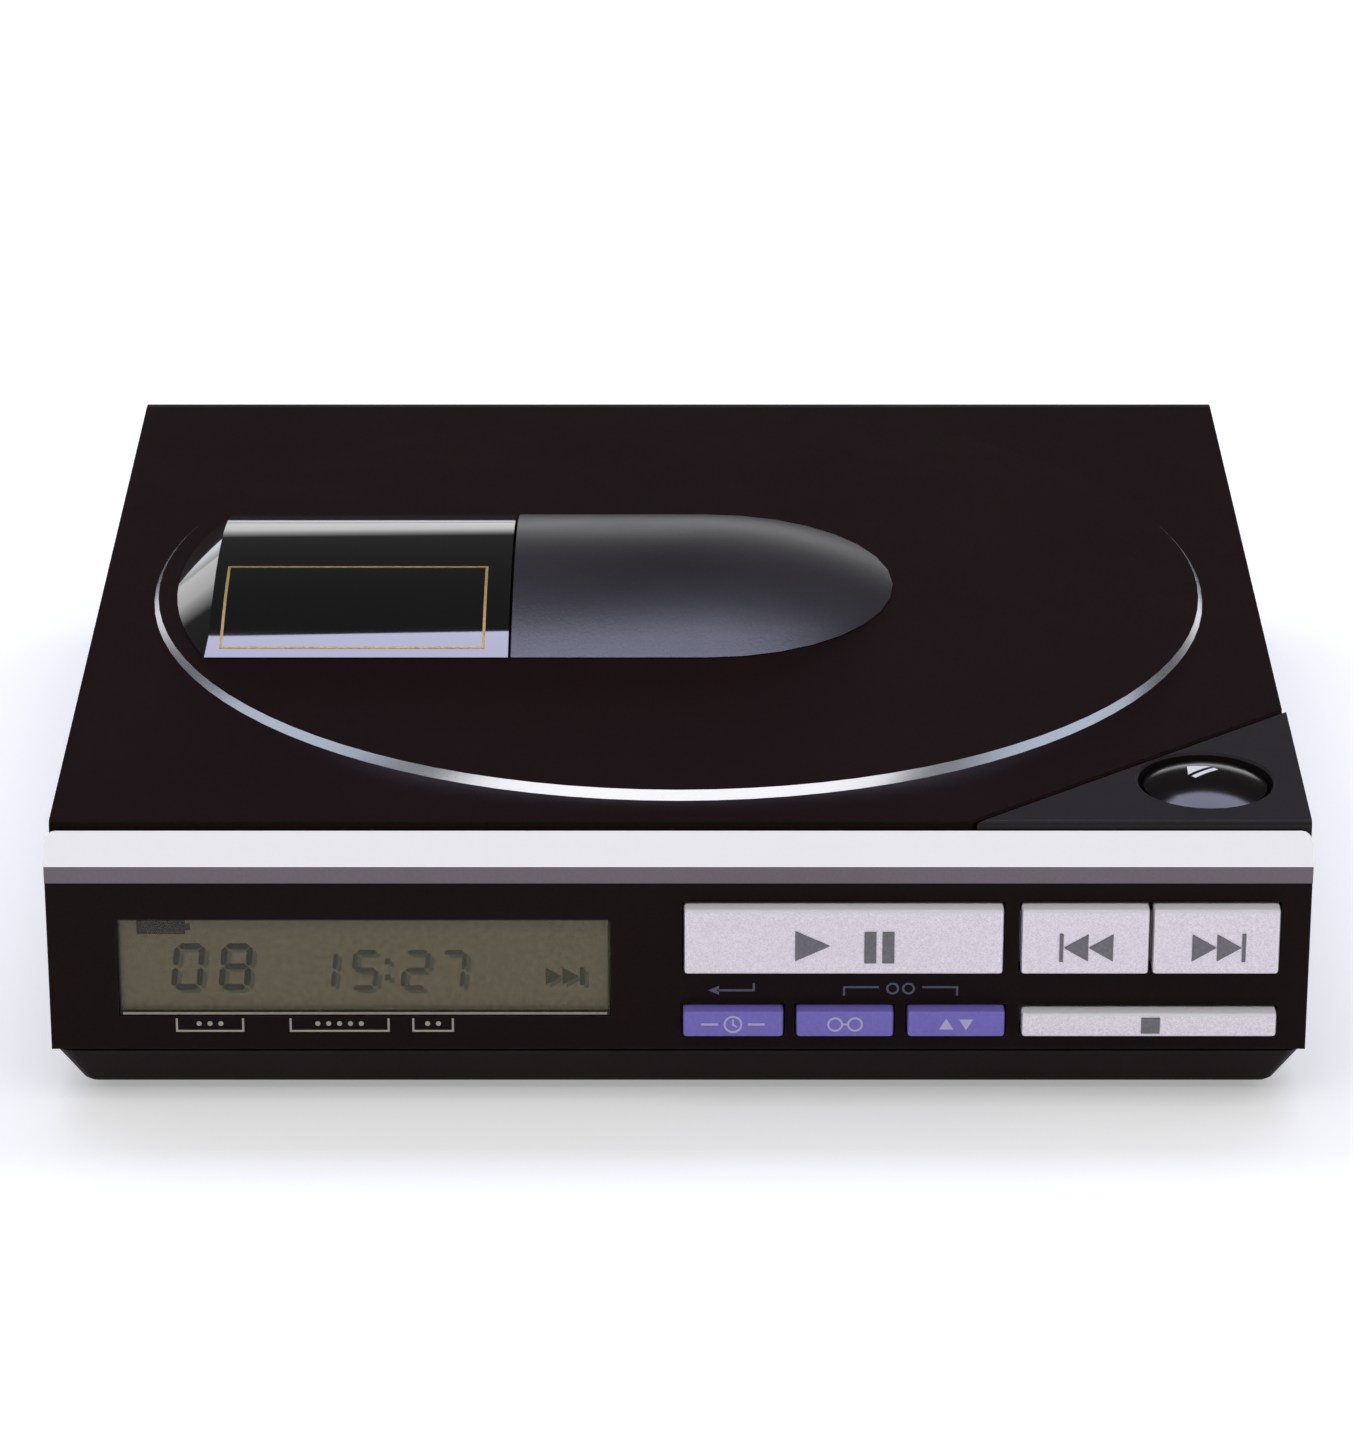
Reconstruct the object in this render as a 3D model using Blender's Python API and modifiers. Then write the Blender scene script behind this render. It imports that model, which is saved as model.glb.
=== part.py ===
# Portable CD player with a hinged lid, a clamped spindle and a sliding pickup.
# Metres, +Z up. The origin is on the ground, straight below the spindle.
# The front with the keys faces -Y and the lid's hinge runs along X at the rear.

import math

import bmesh
import bpy
from mathutils import Matrix, Vector

MM = 0.001
DEGREE = math.pi / 180
SHARP_ANGLE = 35 * DEGREE

# Disc
DISC_RADIUS = 60 * MM
DISC_THICKNESS = 1.2 * MM
DISC_HOLE_RADIUS = 7.5 * MM

# Clearances that all pieces share
GAP = 0.3 * MM
RUNNING_GAP = 0.08 * MM
OVERRUN = 2 * MM
EMBED = 0.4 * MM
WELD_DISTANCE = 0.002 * MM

# Case
WELL_CLEARANCE = 0.9 * MM
SIDE_LAND = 2.55 * MM
FRONT_WALL = 1.46 * MM
PANEL_THICKNESS = 2.3 * MM
KEY_PROTRUSION = 1.4 * MM
FOOT_HEIGHT = 1.2 * MM
BODY_HEIGHT = 29.2 * MM
CASE_WALL = 1.6 * MM
CASE_FLOOR = 1.6 * MM
BEVEL_INSET = 2.8 * MM
BEVEL_HEIGHT = 5.1 * MM
CORNER_RADIUS = 2.0 * MM
CORNER_STEPS = 4
BOTTOM_EDGE_RADIUS = 0.8 * MM

# Deck
DECK_THICKNESS = 5.2 * MM
LID_HEADROOM = 2.8 * MM
DISC_REACH_BELOW_DECK = 1.1 * MM
TRAY_DROP = 1.2 * MM
TRAY_THICKNESS = 1.2 * MM
TRAY_LEDGE = 1.6 * MM
TROUGH_FLOOR = 1.2 * MM
GROOVE_WIDTH = 0.35 * MM
GROOVE_CHAMFER = 0.25 * MM

# Lid
LID_THICKNESS = 1.5 * MM
LID_SIDE_INSET = 0.4 * MM
LID_SKIRT = 1.5 * MM
LID_EDGE_RADIUS = 0.55 * MM
LID_EDGE_STEPS = 3
LID_ROLL_RADIUS = 6 * MM
HINGE_TUCK = 3.66 * MM
PLATEAU_MARGIN = 3.6 * MM
PLATEAU_RISE = 0.84 * MM

# Places that follow from these sizes
WELL_RADIUS = DISC_RADIUS + WELL_CLEARANCE
HALF_WIDTH = WELL_RADIUS + SIDE_LAND
DECK_FRONT_Y = -(WELL_RADIUS + FRONT_WALL)
PANEL_BACK_Y = DECK_FRONT_Y - GAP
FACE_Y = PANEL_BACK_Y - PANEL_THICKNESS
KEY_FACE_Y = FACE_Y - KEY_PROTRUSION
REAR_Y = -KEY_FACE_Y
HINGE_Y = WELL_RADIUS - HINGE_TUCK
TOP_Z = FOOT_HEIGHT + BODY_HEIGHT
HINGE_Z = TOP_Z - LID_ROLL_RADIUS
LID_UNDER_Z = TOP_Z - LID_THICKNESS
DECK_TOP_Z = LID_UNDER_Z - LID_HEADROOM
DECK_BOTTOM_Z = DECK_TOP_Z - DECK_THICKNESS
SEAT_Z = DECK_TOP_Z - DISC_REACH_BELOW_DECK
TRAY_TOP_Z = SEAT_Z - TRAY_DROP
TRAY_BOTTOM_Z = TRAY_TOP_Z - TRAY_THICKNESS
FLOOR_Z = FOOT_HEIGHT + CASE_FLOOR
BEVEL_TOP_Z = FOOT_HEIGHT + BEVEL_HEIGHT
INNER_X = HALF_WIDTH - CASE_WALL
INNER_REAR_Y = REAR_Y - CASE_WALL
LID_HALF_WIDTH = HALF_WIDTH - LID_SIDE_INSET
SKIRT_INNER_X = LID_HALF_WIDTH - LID_SKIRT
TROUGH_RADIUS = LID_ROLL_RADIUS + GAP
PLATEAU_RADIUS = WELL_RADIUS - PLATEAU_MARGIN
LIP_TOP_Z = BEVEL_TOP_Z - GAP
SIDE_TOP_Z = DECK_BOTTOM_Z - GAP

# The fixed corner beside the lid, whose groove runs from the front edge to the right side
CORNER_FRONT_X = 29.9 * MM
CORNER_SIDE_Y = -34.2 * MM
GROOVE_START = Vector((CORNER_FRONT_X, DECK_FRONT_Y))
GROOVE_END = Vector((HALF_WIDTH, CORNER_SIDE_Y))
GROOVE_ALONG = (GROOVE_END - GROOVE_START).normalized()
GROOVE_ACROSS = Vector((GROOVE_ALONG.y, -GROOVE_ALONG.x))

# Looks: colour, roughness and metallic value of each
LOOKS = {
    "brown black": ((0.016, 0.010, 0.010), 0.42, 0.0),
    "black plastic": ((0.008, 0.007, 0.007), 0.35, 0.0),
    "matte black": ((0.012, 0.011, 0.011), 0.7, 0.0),
    "bright trim": ((0.80, 0.78, 0.80), 0.25, 1.0),
    "silver key": ((0.62, 0.58, 0.63), 0.38, 0.6),
    "violet key": ((0.17, 0.14, 0.52), 0.4, 0.1),
    "smoked window": ((0.010, 0.009, 0.009), 0.05, 0.0),
    "grey bulge": ((0.035, 0.033, 0.038), 0.55, 0.0),
    "display grey": ((0.14, 0.14, 0.085), 0.3, 0.0),
    "clear window": ((0.20, 0.20, 0.16), 0.08, 0.0),
    "green board": ((0.02, 0.10, 0.05), 0.5, 0.0),
    "steel": ((0.45, 0.45, 0.46), 0.3, 1.0),
    "zinc plate": ((0.55, 0.56, 0.55), 0.4, 1.0),
    "motor can": ((0.50, 0.50, 0.50), 0.35, 1.0),
    "rubber": ((0.010, 0.010, 0.010), 0.85, 0.0),
    "white nylon": ((0.72, 0.71, 0.66), 0.5, 0.0),
    "pickup grey": ((0.06, 0.06, 0.065), 0.5, 0.0),
    "lens blue": ((0.10, 0.12, 0.30), 0.05, 0.0),
    "brass": ((0.60, 0.42, 0.15), 0.3, 1.0),
}


# Scene and object helpers


def clear_scene():
    for obj in list(bpy.data.objects):
        bpy.data.objects.remove(obj, do_unlink=True)


def new_collection(name):
    collection = bpy.data.collections.new(name)
    bpy.context.scene.collection.children.link(collection)
    return collection


def material(look):
    found = bpy.data.materials.get(look)
    if found:
        return found
    colour, roughness, metallic = LOOKS[look]
    made = bpy.data.materials.new(look)
    made.use_nodes = True
    shader = made.node_tree.nodes["Principled BSDF"]
    shader.inputs["Base Color"].default_value = (*colour, 1)
    shader.inputs["Roughness"].default_value = roughness
    shader.inputs["Metallic"].default_value = metallic
    made.diffuse_color = (*colour, 1)
    return made


def mesh_of(name, shape):
    """The mesh of a bmesh, with its faces turned outward."""
    bmesh.ops.recalc_face_normals(shape, faces=shape.faces)
    mesh = bpy.data.meshes.new(name)
    shape.to_mesh(mesh)
    shape.free()
    return mesh


def part(name, shape, look, at=(0, 0, 0), turn=(0, 0, 0)):
    """A piece of the player, from a bmesh or from a mesh that another piece uses too."""
    mesh = shape if isinstance(shape, bpy.types.Mesh) else mesh_of(name, shape)
    obj = bpy.data.objects.new(name, mesh)
    if not mesh.materials:
        mesh.materials.append(material(look))
    mesh.shade_smooth()
    mesh.set_sharp_from_angle(angle=SHARP_ANGLE)
    PARTS.objects.link(obj)
    obj.location = at
    obj.rotation_euler = turn
    return obj


def helper(name, shape, at=(0, 0, 0), turn=(0, 0, 0)):
    """A shape that is cut from a piece or added to it."""
    obj = bpy.data.objects.new(name, mesh_of(name, shape))
    CUTTERS.objects.link(obj)
    obj.location = at
    obj.rotation_euler = turn
    obj.hide_render = True
    obj.display_type = "WIRE"
    return obj


def combine(obj, other, operation):
    modifier = obj.modifiers.new(operation.lower() + " " + other.name, "BOOLEAN")
    modifier.operation = operation
    modifier.object = other
    modifier.solver = "EXACT"


def cut(obj, *others):
    for other in others:
        combine(obj, other, "DIFFERENCE")


def add(obj, *others):
    for other in others:
        combine(obj, other, "UNION")


def bevel(obj, width, segments=2):
    modifier = obj.modifiers.new("rounded edges", "BEVEL")
    modifier.width = width
    modifier.segments = segments
    modifier.limit_method = "ANGLE"
    modifier.angle_limit = SHARP_ANGLE


# Shape helpers, each of which gives a bmesh


def box(x, y, z):
    """A block between the two values of each pair."""
    shape = bmesh.new()
    bmesh.ops.create_cube(shape, size=1)
    size = Matrix.Diagonal((x[1] - x[0], y[1] - y[0], z[1] - z[0], 1))
    middle = Matrix.Translation(((x[0] + x[1]) / 2, (y[0] + y[1]) / 2, (z[0] + z[1]) / 2))
    bmesh.ops.transform(shape, matrix=middle @ size, verts=shape.verts)
    return shape


AXIS_TURNS = {
    "X": Matrix.Rotation(math.pi / 2, 4, "Y"),
    "Y": Matrix.Rotation(-math.pi / 2, 4, "X"),
    "Z": Matrix.Identity(4),
}


def rod(radius, ends, sides, centre=(0, 0), axis="Z", tip_radius=None):
    """A round bar between two places on its axis. Its centre gives the two other coordinates in order."""
    shape = bmesh.new()
    length = ends[1] - ends[0]
    far_radius = radius if tip_radius is None else tip_radius
    bmesh.ops.create_cone(
        shape, cap_ends=True, segments=sides, radius1=radius, radius2=far_radius, depth=length
    )
    middle = (ends[0] + ends[1]) / 2
    places = {
        "X": (middle, centre[0], centre[1]),
        "Y": (centre[0], middle, centre[1]),
        "Z": (centre[0], centre[1], middle),
    }
    move = Matrix.Translation(places[axis]) @ AXIS_TURNS[axis]
    bmesh.ops.transform(shape, matrix=move, verts=shape.verts)
    return shape


def arc(centre, radius, start, end, steps):
    """Points on an arc, both ends included. Angles are in radians."""
    points = []
    for step in range(steps + 1):
        angle = start + (end - start) * step / steps
        points.append((centre[0] + radius * math.cos(angle), centre[1] + radius * math.sin(angle)))
    return points


def circle(centre, radius, sides):
    return arc(centre, radius, 0, 2 * math.pi * (sides - 1) / sides, sides - 1)


def rectangle(x, y):
    return [(x[0], y[0]), (x[1], y[0]), (x[1], y[1]), (x[0], y[1])]


def rounded_rectangle(x, y, radius):
    quarter = math.pi / 2
    corners = (
        ((x[1] - radius, y[1] - radius), 0),
        ((x[0] + radius, y[1] - radius), 1),
        ((x[0] + radius, y[0] + radius), 2),
        ((x[1] - radius, y[0] + radius), 3),
    )
    points = []
    for centre, turns in corners:
        points += arc(centre, radius, quarter * turns, quarter * (turns + 1), CORNER_STEPS)
    return points


def corner_waste(corner, radius):
    """The outline that a rounding takes off a corner, whose two sides run towards minus from it."""
    centre = (corner[0] - radius, corner[1] - radius)
    far = (corner[0] + OVERRUN, corner[1] + OVERRUN)
    rounding = arc(centre, radius, 0, math.pi / 2, CORNER_STEPS)
    return rounding + [(centre[0], far[1]), far, (far[0], centre[1])]


def prism(outlines, ends):
    """A flat outline, with any holes given after it, made as thick as its two ends say."""
    curve = bpy.data.curves.new("outline", "CURVE")
    curve.dimensions = "2D"
    curve.fill_mode = "BOTH"
    curve.extrude = (ends[1] - ends[0]) / 2
    for outline in outlines:
        spline = curve.splines.new("POLY")
        spline.points.add(len(outline) - 1)
        for point, place in zip(spline.points, outline):
            point.co = (place[0], place[1], 0, 1)
        spline.use_cyclic_u = True
    guide = bpy.data.objects.new("outline", curve)
    CUTTERS.objects.link(guide)
    bpy.context.view_layer.update()
    graph = bpy.context.evaluated_depsgraph_get()
    mesh = bpy.data.meshes.new_from_object(guide.evaluated_get(graph))
    shape = bmesh.new()
    shape.from_mesh(mesh)
    bmesh.ops.remove_doubles(shape, verts=shape.verts, dist=WELD_DISTANCE)
    lift = Matrix.Translation((0, 0, (ends[0] + ends[1]) / 2))
    bmesh.ops.transform(shape, matrix=lift, verts=shape.verts)
    bpy.data.objects.remove(guide, do_unlink=True)
    bpy.data.curves.remove(curve)
    bpy.data.meshes.remove(mesh)
    return shape


def profile_bar(outline, ends):
    """An outline of (y, z) points drawn out along X."""
    shape = prism([outline], ends)
    turn = Matrix(((0, 0, 1, 0), (1, 0, 0, 0), (0, 1, 0, 0), (0, 0, 0, 1)))
    bmesh.ops.transform(shape, matrix=turn, verts=shape.verts)
    return shape


def loft(rings, first_cap=True, last_cap=True):
    """A skin through rings that have equally many points, closed at the ends where a cap is asked for."""
    shape = bmesh.new()
    rows = [[shape.verts.new(place) for place in ring] for ring in rings]
    count = len(rings[0])
    for lower, upper in zip(rows, rows[1:]):
        for index in range(count):
            after = (index + 1) % count
            shape.faces.new((lower[index], lower[after], upper[after], upper[index]))
    if first_cap:
        shape.faces.new(reversed(rows[0]))
    if last_cap:
        shape.faces.new(rows[-1])
    bmesh.ops.remove_doubles(shape, verts=shape.verts, dist=WELD_DISTANCE)
    bmesh.ops.dissolve_degenerate(shape, edges=shape.edges, dist=WELD_DISTANCE)
    return shape


def turned_mesh(name, profile, closed):
    """The profile of a turned piece: (radius, height) points down its outer side."""
    mesh = bpy.data.meshes.new(name)
    edges = [(index, index + 1) for index in range(len(profile) - 1)]
    if closed:
        edges.append((len(profile) - 1, 0))
    mesh.from_pydata([(radius, 0, height) for radius, height in profile], edges, [])
    return mesh


def turn_profile(obj, sides):
    modifier = obj.modifiers.new("turned", "SCREW")
    modifier.axis = "Z"
    modifier.steps = sides
    modifier.render_steps = sides
    modifier.use_merge_vertices = True
    modifier.merge_threshold = WELD_DISTANCE
    modifier.use_smooth_shade = True


def turned(name, profile, look, sides, at=(0, 0, 0), turn=(0, 0, 0), closed=False):
    """A turned piece. Its profile starts and ends on the axis, or is closed and lies off it."""
    obj = part(name, turned_mesh(name, profile, closed), look, at, turn)
    turn_profile(obj, sides)
    return obj


def pivot(name, place, *pieces):
    """An empty on a joint's axis that carries the pieces which move with it, and their cutters."""
    carrier = bpy.data.objects.new(name, None)
    PARTS.objects.link(carrier)
    carrier.location = place
    for piece in pieces:
        obj = bpy.data.objects[piece]
        cutters = [modifier.object for modifier in obj.modifiers if modifier.type == "BOOLEAN"]
        for carried in [obj] + cutters:
            carried.parent = carrier
            carried.matrix_parent_inverse = Matrix.Translation(place).inverted()


clear_scene()
PARTS = new_collection("portable_cd_player")
CUTTERS = new_collection("cutters")

# Case screws and feet, whose places the case and the deck share
SCREW_X = 56 * MM
SCREW_FRONT_Y = -40 * MM
SCREW_REAR_Y = 54 * MM
SCREW_SIDES = 12
MEDIUM_SIDES = 24
SCREW_SHANK_RADIUS = 1.1 * MM
SCREW_HEAD_RADIUS = 2.2 * MM
SCREW_HEAD_HEIGHT = 1.4 * MM
SCREW_HEAD_Z = 1.7 * MM
SCREW_TOP_Z = 15 * MM
SCREW_SLOT_WIDTH = 0.6 * MM
SCREW_SLOT_DEPTH = 0.5 * MM
SCREW_SLOT_SHARE = 0.66
BOSS_RADIUS = 3.6 * MM
BOSS_TOP_Z = 8.2 * MM
POST_RADIUS = 3.2 * MM
SCREW_PLACES = {
    "front_left": (-SCREW_X, SCREW_FRONT_Y),
    "front_right": (SCREW_X, SCREW_FRONT_Y),
    "rear_left": (-SCREW_X, SCREW_REAR_Y),
    "rear_right": (SCREW_X, SCREW_REAR_Y),
}

FOOT_RADIUS = 4.6 * MM
FOOT_RECESS = 0.8 * MM
FOOT_X = 47 * MM
FOOT_FRONT_Y = -54 * MM
FOOT_REAR_Y = 55 * MM
FOOT_CHAMFER = 0.35 * MM
FOOT_SIDES = 24
FOOT_PLACES = {
    "front_left": (-FOOT_X, FOOT_FRONT_Y),
    "front_right": (FOOT_X, FOOT_FRONT_Y),
    "rear_left": (-FOOT_X, FOOT_REAR_Y),
    "rear_right": (FOOT_X, FOOT_REAR_Y),
}

# The volume wheel at the right side and the sockets at the right side and the rear
WHEEL_RADIUS = 7.6 * MM
WHEEL_THICKNESS = 2.8 * MM
WHEEL_Y = -26 * MM
WHEEL_Z = 12 * MM
WHEEL_INSET = 0.2 * MM
WHEEL_X = HALF_WIDTH - WHEEL_INSET - WHEEL_RADIUS
WHEEL_NOTCHES = 20
WHEEL_NOTCH_DEPTH = 0.35 * MM
WHEEL_LAND_SHARE = 0.55
WHEEL_NOTCH_SHARE = 0.775
WHEEL_BORE_RADIUS = 1.5 * MM
WHEEL_SIDES = 60
WHEEL_SLOT_GAP = 0.6 * MM
SCOOP_RADIUS = 16 * MM
SCOOP_DEPTH = 0.9 * MM
POT_RADIUS = 4.8 * MM
POT_TOP_GAP = 0.5 * MM

JACK_NOSE_RADIUS = 3.2 * MM
JACK_BORE_RADIUS = 1.8 * MM
JACK_BORE_DEPTH = 12.5 * MM
JACK_BODY_LENGTH = 14 * MM
JACK_BODY_WIDTH = 8.4 * MM
JACK_BODY_HEIGHT = 7.4 * MM
JACK_INSET = 0.25 * MM
JACK_SIDES = 20
DC_BORE_RADIUS = 2.75 * MM
DC_BORE_DEPTH = 9 * MM
DC_PIN_RADIUS = 0.85 * MM
DC_PIN_INSET = 1 * MM
DC_NOSE_RADIUS = 4.1 * MM
HEADPHONE_Y = -12 * MM
REAR_LINE_X = 28 * MM
REAR_DC_X = 43 * MM
JACK_Z = 11.6 * MM


# Case pieces


def case_ring(inset, z):
    radius = max(CORNER_RADIUS - inset / 2, CORNER_RADIUS / 2)
    x = (-HALF_WIDTH + inset, HALF_WIDTH - inset)
    y = (FACE_Y + inset, REAR_Y - inset)
    return [(px, py, z) for px, py in rounded_rectangle(x, y, radius)]


def both_sides(shape):
    """The shape with its copy on the other side of X zero."""
    geometry = shape.verts[:] + shape.edges[:] + shape.faces[:]
    bmesh.ops.mirror(shape, geom=geometry, axis="X", merge_dist=0)
    return shape


def hinge_clearance(name):
    """The full round that the lid's two end discs need, at both sides of the deck and the case."""
    ends = (SKIRT_INNER_X - GAP, HALF_WIDTH + OVERRUN)
    return helper(name, both_sides(rod(TROUGH_RADIUS, ends, TROUGH_SIDES, (HINGE_Y, HINGE_Z), "X")))


def bottom_case():
    edge = BOTTOM_EDGE_RADIUS
    foot_inset = BEVEL_INSET + edge / 2
    outer = [
        case_ring(foot_inset, FOOT_HEIGHT),
        case_ring(BEVEL_INSET, FOOT_HEIGHT + edge / 2),
        case_ring(0, BEVEL_TOP_Z),
        case_ring(0, SIDE_TOP_Z),
    ]
    case = part("bottom_case", loft(outer), "black plastic")
    inner_bevel = BEVEL_INSET + CASE_WALL
    inner = [
        case_ring(inner_bevel, FLOOR_Z),
        case_ring(CASE_WALL, BEVEL_TOP_Z + CASE_FLOOR),
        case_ring(CASE_WALL, SIDE_TOP_Z + OVERRUN),
    ]
    cut(case, helper("case hollow", loft(inner)))
    front = box((-HALF_WIDTH - OVERRUN, HALF_WIDTH + OVERRUN), (FACE_Y - OVERRUN, DECK_FRONT_Y),
                (LIP_TOP_Z, SIDE_TOP_Z + OVERRUN))
    cut(case, helper("case front opening", front))
    cut(case, hinge_clearance("case hinge clearance"))
    for name, (x, y) in SCREW_PLACES.items():
        boss = rod(BOSS_RADIUS, (FLOOR_Z - EMBED, BOSS_TOP_Z), SCREW_SIDES, (x, y))
        add(case, helper("boss " + name, boss))
        head_bore = rod(SCREW_HEAD_RADIUS + GAP, (FOOT_HEIGHT - OVERRUN,
                        SCREW_HEAD_Z + SCREW_HEAD_HEIGHT + GAP), SCREW_SIDES, (x, y))
        cut(case, helper("head bore " + name, head_bore))
        bore = rod(SCREW_SHANK_RADIUS + GAP, (SCREW_HEAD_Z, BOSS_TOP_Z + OVERRUN), SCREW_SIDES, (x, y))
        cut(case, helper("shank bore " + name, bore))
    for name, (x, y) in FOOT_PLACES.items():
        recess = rod(FOOT_RADIUS + GAP, (FOOT_HEIGHT - OVERRUN, FOOT_HEIGHT + FOOT_RECESS),
                     FOOT_SIDES, (x, y))
        cut(case, helper("foot recess " + name, recess))
    cut_side_openings(case)


def cut_side_openings(case):
    """The volume wheel's scoop and slot, and the holes of the three sockets."""
    scoop = bmesh.new()
    bmesh.ops.create_uvsphere(scoop, u_segments=MEDIUM_SIDES, v_segments=MEDIUM_SIDES, radius=SCOOP_RADIUS)
    centre_x = HALF_WIDTH + SCOOP_RADIUS - SCOOP_DEPTH
    cut(case, helper("volume scoop", scoop, (centre_x, WHEEL_Y, WHEEL_Z)))
    half = WHEEL_THICKNESS / 2 + WHEEL_SLOT_GAP
    slot = rod(WHEEL_RADIUS + WHEEL_SLOT_GAP, (WHEEL_Z - half, WHEEL_Z + half), WHEEL_SIDES,
               (WHEEL_X, WHEEL_Y))
    cut(case, helper("volume slot", slot))
    side_ends = (INNER_X - OVERRUN, HALF_WIDTH + OVERRUN)
    rear_ends = (INNER_REAR_Y - OVERRUN, REAR_Y + OVERRUN)
    nose = JACK_NOSE_RADIUS + GAP
    cut(case, helper("headphone hole", rod(nose, side_ends, JACK_SIDES, (HEADPHONE_Y, JACK_Z), "X")))
    cut(case, helper("line out hole", rod(nose, rear_ends, JACK_SIDES, (REAR_LINE_X, JACK_Z), "Y")))
    dc_nose = DC_NOSE_RADIUS + GAP
    cut(case, helper("dc hole", rod(dc_nose, rear_ends, JACK_SIDES, (REAR_DC_X, JACK_Z), "Y")))


def feet():
    for name, (x, y) in FOOT_PLACES.items():
        top = FOOT_HEIGHT + FOOT_RECESS - GAP
        profile = [
            (0, top),
            (FOOT_RADIUS, top),
            (FOOT_RADIUS, FOOT_CHAMFER),
            (FOOT_RADIUS - FOOT_CHAMFER, 0),
            (0, 0),
        ]
        turned("foot_" + name, profile, "rubber", FOOT_SIDES, at=(x, y, 0))


def case_screws():
    for name, (x, y) in SCREW_PLACES.items():
        under_head = SCREW_HEAD_Z + SCREW_HEAD_HEIGHT
        profile = [
            (0, SCREW_TOP_Z),
            (SCREW_SHANK_RADIUS, SCREW_TOP_Z - SCREW_SHANK_RADIUS),
            (SCREW_SHANK_RADIUS, under_head),
            (SCREW_HEAD_RADIUS, under_head),
            (SCREW_HEAD_RADIUS, SCREW_HEAD_Z),
            (0, SCREW_HEAD_Z),
        ]
        screw = turned("case_screw_" + name, profile, "steel", SCREW_SIDES, at=(x, y, 0))
        half = SCREW_SLOT_WIDTH / 2
        reach = SCREW_HEAD_RADIUS * SCREW_SLOT_SHARE
        depth = (SCREW_HEAD_Z - OVERRUN, SCREW_HEAD_Z + SCREW_SLOT_DEPTH)
        lengthwise = box((-reach, reach), (-half, half), depth)
        crosswise = box((-half, half), (-reach, reach), depth)
        cut(screw, helper("screw slot " + name, lengthwise, at=(x, y, 0)))
        cut(screw, helper("screw cross slot " + name, crosswise, at=(x, y, 0)))


# Hinge ears and pins
TROUGH_SIDES = 32
EAR_RADIUS = 3.6 * MM
EAR_WIDTH = 3.8 * MM
EAR_OUTER_X = SKIRT_INNER_X - GAP
EAR_INNER_X = EAR_OUTER_X - EAR_WIDTH
ROLL_INNER_RADIUS = LID_ROLL_RADIUS - LID_THICKNESS
PIN_RADIUS = 1.0 * MM
PIN_SIDES = 16
PIN_INSET = 0.1 * MM

# Open button and latch. Places along the latch are measured from the groove, towards the corner.
BUTTON_X = 53.6 * MM
BUTTON_Y = -52.06 * MM
BUTTON_RADIUS = 6.3 * MM
BUTTON_RECESS_RADIUS = 6.9 * MM
BUTTON_TRAVEL = 1.5 * MM
BUTTON_RIM_DROP = 0.6 * MM
BUTTON_DOME = 1.4 * MM
BUTTON_SKIRT = 1.5 * MM
BUTTON_STEM_RADIUS = 2.4 * MM
BUTTON_SIDES = 32
DOME_STEPS = 5
WEDGE_LENGTH = 3 * MM
WEDGE_TIP_RADIUS = 0.6 * MM
WEDGE_SLOPE = 0.5
WEDGE_DIP = 0.5 * MM
LATCH_THICKNESS = 3.5 * MM
LATCH_HALF_WIDTH = 2.6 * MM
LATCH_REAR = 12 * MM
LATCH_HOLE_RADIUS = 2.1 * MM
TOOTH_HALF_WIDTH = 1.3 * MM
TOOTH_ROOT = 0.9 * MM
TOOTH_THICKNESS = 1.6 * MM
LATCH_PLATE_THICKNESS = 1.2 * MM
LATCH_PLATE_HALF_WIDTH = 4.4 * MM
CATCH_FACE = 1.2 * MM
CATCH_THICKNESS = 1.5 * MM
CATCH_HALF_WIDTH = 2.5 * MM
CATCH_CLEARANCE = 0.6 * MM
CATCH_END = 1.6 * MM
BUTTON_CENTRE = Vector((BUTTON_X, BUTTON_Y))
BUTTON_DISTANCE = (BUTTON_CENTRE - GROOVE_START).dot(GROOVE_ACROSS)
LATCH_ORIGIN = BUTTON_CENTRE - BUTTON_DISTANCE * GROOVE_ACROSS
LATCH_ANGLE = math.atan2(GROOVE_ACROSS.y, GROOVE_ACROSS.x)
LATCH_BOTTOM_Z = DECK_BOTTOM_Z
LATCH_TOP_Z = LATCH_BOTTOM_Z + LATCH_THICKNESS
TOOTH_TOP_Z = LATCH_TOP_Z - GAP
TOOTH_BOTTOM_Z = TOOTH_TOP_Z - TOOTH_THICKNESS
CATCH_BOTTOM_Z = TOOTH_BOTTOM_Z - CATCH_END
RECESS_FLOOR_Z = TOP_Z - BUTTON_RIM_DROP - BUTTON_SKIRT - BUTTON_TRAVEL - GAP

# Pickup path: from the spindle towards the rear left
SLED_ANGLE = 135 * DEGREE
SLED_ALONG = Vector((math.cos(SLED_ANGLE), math.sin(SLED_ANGLE)))
SLED_ASIDE = Vector((-SLED_ALONG.y, SLED_ALONG.x))
LENS_INNER_RADIUS = 24 * MM
DATA_MARGIN = 2 * MM
LENS_TRAVEL = DISC_RADIUS - DATA_MARGIN - LENS_INNER_RADIUS
LENS_RADIUS = 2.6 * MM
LENS_FACE_RADIUS = 1.3 * MM
LENS_FACE_DROP = 0.2 * MM
LENS_RIM_RADIUS = 1.95 * MM
LENS_RIM_DROP = 0.5 * MM
LENS_SLOT_GAP = 0.6 * MM
SPINDLE_HOLE_RADIUS = 6.2 * MM
WELL_SIDES = 72


def along_latch(shape):
    """Turns a shape made along X from the groove into the latch's direction and moves it to its place."""
    move = Matrix.Translation((LATCH_ORIGIN.x, LATCH_ORIGIN.y, 0)) @ Matrix.Rotation(LATCH_ANGLE, 4, "Z")
    bmesh.ops.transform(shape, matrix=move, verts=shape.verts)
    return shape


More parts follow.
